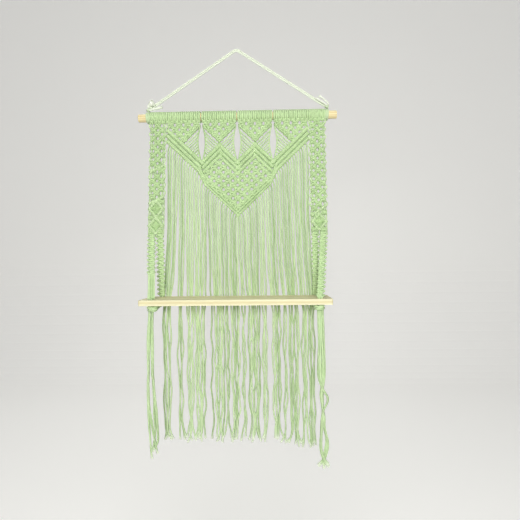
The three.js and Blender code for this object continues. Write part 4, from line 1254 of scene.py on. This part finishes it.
# %% Bundles and knots under the board
UNDER_DROP = 7.6 * MM
UNDER_FLAT = 0.68
RUN_RADIUS = 3.8 * MM
RUN_LAY, RUN_STRAND = 1.95 * MM, 1.85 * MM
RUN_STRANDS, RUN_TURNS = 4, 1.5
UNDER_IN = 2.4 * MM
UNDER_CORD = 2.1 * MM
FILLING = np.array([[4.5, 6.2, 6.8, 6.6, 6.2, 5.6, 5.0, 4.0]]) * MM
# each loop's tilt and turn, then its lift, half width and half depth in millimetres
UNDER_LOOPS = np.array([(0.1, 0.1, 5.4, 10.6, 7.0), (-0.14, -0.1, 2.2, 11.4, 7.6), (0.16, 0.2, -1.4, 9.4, 6.6),
                        (-0.1, -0.3, -4.6, 7.2, 5.2), (0.4, 0.1, 1.6, 10.4, 7.8), (-0.4, 0.2, 1.2, 10.0, 7.4)])


def twisted(route, bundle_radius, strands, turns, strand_radius):
    """Each strand = route + bundle radius turning round it, one full turn per 1 / turns of it."""
    _, side, other = carried_frames(route[None])
    t = np.linspace(0, 1, len(route))
    angle = 2 * np.pi * (turns * t[None] + np.arange(strands)[:, None] / strands)
    paths = route[None] + bundle_radius * (np.cos(angle)[..., None] * side + np.sin(angle)[..., None] * other)
    return (paths, strand_radius)


for word, side in SIDE_WORDS:
    x = side * HOLE_X
    mid_z = board_low[2] - 0.3 * MM - 2 * RUN_RADIUS
    knot_at = np.array([x, front_hole, board_low[2] - UNDER_DROP])
    points = np.array([
        (x, back_hole, board_low[2] - 0.3 * MM), (x, back_hole - 1.5 * MM, mid_z + 4.5 * MM),
        (x, back_hole - 2 * RUN_RADIUS, mid_z + 0.5 * MM), (x, (back_hole + front_hole) / 2, mid_z - 1.5 * MM),
        (x, knot_at[1] + 12 * MM, knot_at[2]), (x, knot_at[1] + 5 * MM, knot_at[2])])
    strands = twisted(smooth(points, 48), RUN_LAY, RUN_STRANDS, RUN_TURNS, RUN_STRAND)
    run = cords(f"bundle_under_board_{word}", [strands])
    finish_cord(run, "shelf", f"under_run_{word}")
    angle = np.linspace(0, 2 * np.pi, 36)
    tilt, turn, lift, wide, deep = UNDER_LOOPS.T[..., None]
    a, b = wide * MM * np.cos(angle), deep * MM * np.sin(angle)
    rolled = np.stack([a * np.cos(tilt), b, a * np.sin(tilt)], -1)
    loops_at = np.stack([rolled[..., 0] * np.cos(turn) - rolled[..., 1] * np.sin(turn),
                         rolled[..., 0] * np.sin(turn) + rolled[..., 1] * np.cos(turn),
                         rolled[..., 2] + UNDER_FLAT * lift * MM], -1)
    filling = np.stack([np.zeros(8), np.zeros(8), np.linspace(5, -5, 8) * MM], 1)
    middle = knot_at - (side * UNDER_IN, 0, 0)
    groups = [(loops_at + middle, UNDER_CORD), (filling + middle, FILLING, 12)]
    knot = cords(f"gathering_knot_{word}", groups)
    finish_cord(knot, "shelf", f"under_knot_{word}")

# %% [markdown]
# ## Loose cords
# Below the knots, and all along the V's border, cords hang free. Each keeps a slight
# wave from the way it was wound, so its line is a sum of two slow waves whose size,
# length and phase are drawn from a seeded random table. Cord that carries no load swells
# a little. Its last centimetre or so is untwisted, paler and thicker, and ends in a brush.

# %% Waves and loose bundles
random = np.random.default_rng(7)
WORN_TIP = 15 * MM
LOOSE_RADIUS = 2.1 * MM
LOOSE_FADE = 0.08
TIP_OPENS = 0.4
BRUSH = 2.6 * MM
BRUSH_FIBRES, BRUSH_SPREAD, BRUSH_FIBRE = 7, 0.6 * MM, 0.8 * MM
HANGING_TONE = 0.5


def wavy(count, rings, size, span):
    """Offsets (count, rings) = size (sin(2 pi t n + a) + sin(4.6 pi t n + b) / 2) / 1.5, with t
    from 0 to 1 along the cord."""
    t = np.linspace(0, 1, rings)[None]
    waves = span * random.uniform(0.75, 1.3, (count, 1))
    a, b = random.uniform(0, 2 * np.pi, (2, count, 1))
    return size * (np.sin(2 * np.pi * waves * t + a) + 0.5 * np.sin(4.6 * np.pi * waves * t + b)) / 1.5


def brushes(paths):
    """The frayed tips of hanging cords, straight on from each last stretch."""
    return frayed(paths[:, -1], paths[:, -1] - paths[:, -3], BRUSH_FIBRES, BRUSH, BRUSH_SPREAD, BRUSH_FIBRE)


def opened(paths, radius):
    """Rounded paths of radius (1 + opens s^2), where s goes from 0 to 1 over the worn tip."""
    step = np.linalg.norm(np.diff(paths, axis=1), axis=2)
    left = np.concatenate([step[:, ::-1].cumsum(1)[:, ::-1], np.zeros((len(paths), 1))], 1)
    return rounded(paths, radius * (1 + TIP_OPENS * np.clip(1 - left / WORN_TIP, 0, 1) ** 2))


def hang(name, body, node, paths, radius, tones=None):
    """The first cord is a piece of its own; the others and all the brushes make a second piece, on the same
    body and node.
    """
    tones = random.uniform(-0.5, 0.5, len(paths)) if tones is None else tones
    first = (*opened(paths[:1], radius), SIDES, None, tones[:1])
    others = (*opened(paths[1:], radius), SIDES, None, tones[1:])
    lead = cords(f"{name}_lead", [first], worn_ends=WORN_TIP, tone=HANGING_TONE, fade=LOOSE_FADE)
    groups = [others, brushes(paths)]
    rest = cords(f"{name}_cords", groups, worn_ends=WORN_TIP, tone=HANGING_TONE, fade=LOOSE_FADE)
    for piece in (lead, rest):
        finish_cord(piece, body, node)


# %% [markdown]
# The two tails hold eight cords each, which hang in four pairs. On the left the pairs part
# in two and cross near their ends. On the right they cross, bulge, close and open again.
# Their sideways lines are given as (share of the tail, offset in millimetres).

# %% Tails under the board
TAIL_RINGS = 90
TAIL_LINES = {
    "left": (((0, -4.5), (0.21, -7.4), (0.4, -8.1), (0.48, -9.3), (0.62, -8.7), (0.71, -7.8), (0.82, -6.2),
              (0.91, -4.2), (1, -1.3)),
             ((0, -3), (0.21, -5.4), (0.4, -7), (0.48, -8.1), (0.62, -7.8), (0.71, -4.6), (0.8, 0.7),
              (0.89, 5.6), (0.966, 10.5)),
             ((0, 2.5), (0.21, 2.1), (0.4, 1.7), (0.48, 3.2), (0.62, 6.8), (0.69, 9.5), (0.755, 9.9),
              (0.84, 11.9), (0.9, 10.5), (0.952, 0.7)),
             ((0, 1), (0.21, 0.1), (0.4, -0.3), (0.48, 1.3), (0.62, 4), (0.71, 4), (0.79, 5.6), (0.86, 4.6),
              (0.952, -0.3))),
    "right": (((0, -5), (0.19, -4.5), (0.32, -6.4), (0.41, -5.8), (0.48, 1), (0.52, 8.7), (0.545, 13.5),
               (0.58, 13.2), (0.625, 5.2), (0.68, 0), (0.77, -1.9), (0.82, -3.3), (0.88, -1.9), (0.936, 4.5),
               (0.976, 14.5)),
              ((0, -2.5), (0.19, -1), (0.32, -1.9), (0.41, -1), (0.48, 1.9), (0.54, 1), (0.6, 1), (0.64, 2.9),
               (0.69, 3.3), (0.756, 0), (0.82, -1.7), (0.88, -1), (0.936, 3.3), (0.972, 13)),
              ((0, 5), (0.19, 7.8), (0.32, 7.8), (0.41, 7.2), (0.48, 4.5), (0.54, 3.3), (0.625, 3.9),
               (0.68, 6.8), (0.725, 6.4), (0.77, 8.7), (0.82, 13), (0.86, 13.6), (0.894, 10.7), (0.938, 4.9),
               (0.978, -7.8)),
              ((0, 2), (0.19, 3.3), (0.32, 4.5), (0.41, 3.3), (0.48, 1.9), (0.54, -1), (0.625, 2.9), (0.69, 1),
               (0.75, 5.8), (0.82, 10.7), (0.88, 9.1), (0.936, 3.9), (1, 4.9))),
}
PAIR_DEPTHS = (-2.6, -0.9, 0.9, 2.6)
TAIL_BELOW = {"left": 6 * MM, "right": 1 * MM}
TAIL_RADIUS = 2.0 * MM
INTO_KNOT = 5 * MM
TURN_IN_TAIL = 7
PAIR_WIDE, PAIR_DEEP = 1.0 * MM, 1.5 * MM
SIDE_WAVE, FORWARD_WAVE = (0.4 * MM, 3), (0.8 * MM, 2.2)
SHORTEST = 0.985
for word, side in SIDE_WORDS:
    low, high = box(f"tail_{word}")
    top = high[2] + INTO_KNOT
    drop = top - low[2] + TAIL_BELOW[word]
    pairs = []
    for line, deep in zip(TAIL_LINES[word], PAIR_DEPTHS):
        share, offset = np.array(line).T
        middle = smooth(np.stack([offset * MM, 0 * share, share], 1), TAIL_RINGS)
        turn = random.uniform(0, np.pi) + TURN_IN_TAIL * middle[:, 2] + np.array([[0], [np.pi]])
        x = side * HOLE_X + middle[:, 0] + PAIR_WIDE * np.cos(turn) + wavy(2, TAIL_RINGS, *SIDE_WAVE)
        y = front_hole + deep * MM + PAIR_DEEP * np.sin(turn) + wavy(2, TAIL_RINGS, *FORWARD_WAVE)
        z = top - drop * middle[:, 2] * random.uniform(SHORTEST, 1, (2, 1))
        pairs.append(np.stack([x, y, z], -1))
    hang(f"tail_{word}", f"{word}_tail", f"tail_{word}", np.concatenate(pairs), TAIL_RADIUS)

# %% [markdown]
# The fringe's 64 cords leave the border square to it, bend down within a centimetre and
# hang straight, evenly spaced at first. Below the board they draw together in clumps,
# which are narrowest a little above their tips. Each place is the start's, then eased to
# the clump's, plus the hook, the opening at the tips and the waves.

# %% Fringe
FRINGE_DROP = 818 * MM
FRINGE_STRANDS = 64
FRINGE_GROUPS = 8
CLUMPS = np.array([(-184, 5), (-150, 3), (-124, 4), (-99, 6), (-70, 1), (-50, 6), (-30, 2), (-10, 5), (11, 2),
                   (37, 7), (64, 3), (93, 5), (115, 2), (137, 6), (163, 3), (181, 4)])
LONGER_AT_RIGHT = 14 * MM
UNEVEN = (-1, 13)
INTO_BORDER = 3 * MM
HOOK_OUT = 5.5 * MM
HOOK_DROP = 5.5 * MM
HOOK_RINGS = 14
HANG_RINGS = 62
BEND_RUN = 24 * MM
CLUMPED_BELOW = 40 * MM
CLUMP_STEP = 4.3 * MM
WAIST, WAIST_AT, WAIST_REACH = 0.45, 42 * MM, 30 * MM
TIP_SPREAD, TIP_REACH = 6.5, 16 * MM
WAVES_GROW, WAVES_ABOVE = 120 * MM, 60 * MM
UPPER_WAVE, LOWER_WAVE, DEPTH_WAVE = (1.2 * MM, 3.5), (2.8 * MM, 4.6), (1.6 * MM, 3.0)
DEPTHS = (1.4, 5.4)
FRONT_TONE, PAINTED_SHADE_FALL = 0.6, 0.36
clump_x = np.repeat(CLUMPS[:, 0], CLUMPS[:, 1].astype(int)) * MM
number = np.arange(FRINGE_STRANDS)
place_x = (number + 0.5) / FRINGE_STRANDS * 2 * panel_half - panel_half
outwards = np.sign(place_x)
start_x = place_x - outwards * HOOK_OUT
start_z = border_z(start_x) + INTO_BORDER
lengths = start_z - axis_z + FRINGE_DROP - random.uniform(*UNEVEN, FRINGE_STRANDS) * MM
lengths += LONGER_AT_RIGHT * np.clip((number - 50) / 8, 0, 1)
first = np.linspace(0, 1, HOOK_RINGS)[None] * BEND_RUN
share = np.linspace(0, 1, HANG_RINGS)[None, 1:]
straight = BEND_RUN + share * (lengths[:, None] - BEND_RUN)
fall = np.concatenate([np.repeat(first, FRINGE_STRANDS, 0), straight], 1)
rings = fall.shape[1]
z = start_z[:, None] - fall
board_z = board_high[2]
down = np.clip((start_z[:, None] - z) / (start_z[:, None] - board_z + CLUMPED_BELOW), 0, 1)
spread = (number - np.array([number[clump_x == c].mean() for c in clump_x])) * CLUMP_STEP
in_clump = clump_x + spread
left = fall[:, -1:] - fall
drawn_in = WAIST * np.exp(-(((left - WAIST_AT) / WAIST_REACH) ** 2))
opening = random.normal(0, TIP_SPREAD, FRINGE_STRANDS)[:, None] * MM * np.exp(-left / TIP_REACH)
x = place_x[:, None] + (in_clump - place_x)[:, None] * down**2 - spread[:, None] * drawn_in + opening
x -= outwards[:, None] * HOOK_OUT * np.exp(-fall / HOOK_DROP)
loose = np.clip(fall / WAVES_GROW, 0, 1)
below = np.clip((board_z + WAVES_ABOVE - z) / WAVES_GROW, 0, 1)
x += loose * wavy(FRINGE_STRANDS, rings, *UPPER_WAVE) + below * wavy(FRINGE_STRANDS, rings, *LOWER_WAVE)
depth = random.uniform(*DEPTHS, FRINGE_STRANDS)[:, None] * MM
# Painted shade: strands that hang further back are painted darker, by a share for each millimetre of depth.
tones = FRONT_TONE - PAINTED_SHADE_FALL * (depth[:, 0] / MM - DEPTHS[0])
y = -0.5 * MM + loose * (depth + 0.6 * wavy(FRINGE_STRANDS, rings, *DEPTH_WAVE))
paths = np.stack([x, y, z], -1)
print(f"fringe: tips from x {x[:, -1].min() * 1000:.0f} to {x[:, -1].max() * 1000:.0f} mm")
for group in range(FRINGE_GROUPS):
    part = slice(*np.array([group, group + 1]) * FRINGE_STRANDS // FRINGE_GROUPS)
    hang(f"fringe_{group + 1}", "panel", f"fringe_{group + 1}", paths[part], LOOSE_RADIUS, tones[part])

# %% [markdown]
# ## The board
# A planed pine board with four drilled holes. Its solid is already right, so a merged
# copy of it only gets its edges eased with a narrow bevel, as sandpaper leaves them.

# %% Board
BOARD_EASED = 0.9 * MM
SAME_PLACE = 0.001 * MM
FLAT_ANGLE, EDGE_ANGLE = 0.02, 0.8
shape = bmesh.new()
shape.from_mesh(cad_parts["shelf_board"].data)
bmesh.ops.remove_doubles(shape, verts=shape.verts, dist=SAME_PLACE)
bmesh.ops.dissolve_limit(shape, angle_limit=FLAT_ANGLE, verts=shape.verts, edges=shape.edges)
board_mesh = bpy.data.meshes.new("pine_board")
shape.to_mesh(board_mesh)
shape.free()
board_mesh.materials.clear()
board_mesh.materials.append(board_finish)
board = bpy.data.objects.new("pine_board", board_mesh)
bpy.context.scene.collection.objects.link(board)
bevel = board.modifiers.new("eased", "BEVEL")
bevel.width, bevel.segments, bevel.limit_method, bevel.angle_limit = BOARD_EASED, 3, "ANGLE", EDGE_ANGLE
put(board, "shelf", "shelf_board", slot="board_pine")

# %% [markdown]
# ## Floor, backdrop and light
# The object hangs before a plain pale sweep. The sweep is far behind it, so that other
# views still see the part, and it turns up from the floor on a large curve. To the
# camera, and in clear reflections, it also glows a little, which lifts it to a clean
# pale tone without putting more light on the cord.

# %% Sweep
SWEEP_GLOW = 0.4
SWEEP_COLOUR = (*srgb(240, 239, 235), 1)
SWEEP_CURVE = 0.8
FLOOR_Z = -1.35
BACK_Y = 2.6


def seen_only(tree):
    """One where the camera looks, straight or by a reflection, and zero for light on objects."""
    rays = tree.nodes.new("ShaderNodeLightPath")
    seen = joined_maths(tree, "MAXIMUM", rays.outputs["Is Camera Ray"], rays.outputs["Is Glossy Ray"])
    return joined_maths(tree, "MAXIMUM", seen, rays.outputs["Is Transmission Ray"])


turn = np.linspace(0, np.pi / 2, 16)
turned_y = BACK_Y - SWEEP_CURVE + SWEEP_CURVE * np.sin(turn)
curve_y = np.concatenate([[-4.0, -2.0, 0.0], turned_y, [BACK_Y, BACK_Y]])
curve_z = np.concatenate([[FLOOR_Z] * 3, FLOOR_Z + SWEEP_CURVE - SWEEP_CURVE * np.cos(turn), [1.5, 3.5]])
sweep_x = np.linspace(-5, 5, 5)
up, wide = len(curve_y), len(sweep_x)
lines = (sweep_x[None], curve_y[:, None], curve_z[:, None])
grid = np.stack([np.broadcast_to(line, (up, wide)) for line in lines], -1)
r, c = np.meshgrid(np.arange(up - 1), np.arange(wide - 1), indexing="ij")
corner = (r * wide + c).ravel()
quads = np.stack([corner, corner + 1, corner + wide + 1, corner + wide], 1)
sweep_mesh = bpy.data.meshes.new("sweep")
sweep_mesh.from_pydata(grid.reshape(-1, 3).tolist(), [], quads.tolist())
sweep = bpy.data.objects.new("sweep", sweep_mesh)
bpy.context.scene.collection.objects.link(sweep)
sweep_finish, sweep_tree, sweep_shader = new_material("pale_sweep", 0.9, 0.1)
sweep_shader.inputs["Base Color"].default_value = SWEEP_COLOUR
glow = joined_maths(sweep_tree, "MULTIPLY", seen_only(sweep_tree), SWEEP_GLOW)
sweep_shader.inputs["Emission Color"].default_value = SWEEP_COLOUR
sweep_tree.links.new(glow, sweep_shader.inputs["Emission Strength"])
sweep_mesh.materials.append(sweep_finish)
sweep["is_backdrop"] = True

# %% [markdown]
# Four soft lamps light the part at a plain level. The key stands near the camera, so that
# every knot has a soft shadow under it. A lamp above lights the board's top, a weak one
# fills the shadows from the right, and a large one behind keeps the back readable. The
# world glows to the camera as the sweep does.

# %% Light
AIR = 0.19
AIR_SEEN = 0.6
AIR_COLOUR = (0.95, 0.96, 0.98, 1)
LAMPS_AIM = Vector((0, 0, -0.5))
LAMPS = (
    ("key", (0.1, -2.1, -0.22), 0.5, 31.8),
    ("top", (0.0, -0.9, 1.35), 1.0, 9.5),
    ("fill", (1.5, -1.9, -1.1), 1.4, 5.0),
    ("rim", (-0.3, 1.9, 0.9), 1.8, 11.0),
)
for name, place, size, power in LAMPS:
    lamp = bpy.data.lights.new(name, "AREA")
    lamp.shape, lamp.size, lamp.energy = "DISK", size, power
    holder = bpy.data.objects.new(name, lamp)
    aim = LAMPS_AIM - Vector(place)
    holder.matrix_world = Matrix.Translation(place) @ aim.to_track_quat("-Z", "Y").to_matrix().to_4x4()
    bpy.context.scene.collection.objects.link(holder)

world = bpy.data.worlds.new("room")
world.use_nodes = True
air = world.node_tree.nodes["Background"]
air.inputs["Color"].default_value = AIR_COLOUR
seen = seen_only(world.node_tree)
level = joined_maths(world.node_tree, "ADD", joined_maths(world.node_tree, "MULTIPLY", seen, AIR_SEEN), AIR)
world.node_tree.links.new(level, air.inputs["Strength"])
bpy.context.scene.world = world
bpy.context.scene.view_settings.view_transform = "Standard"

# %% [markdown]
# ## Last measurements
# The sizes of the boxes of the imported model and of the finished part are printed side
# by side.

# %% Sizes
visual_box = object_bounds()
sizes = {"cad": [list(map(float, corner)) for corner in cad_box],
         "visual": [list(map(float, corner)) for corner in visual_box]}
for name, (low, high) in sizes.items():
    print(name, [round(1000 * (b - a), 1) for a, b in zip(low, high)], "mm")
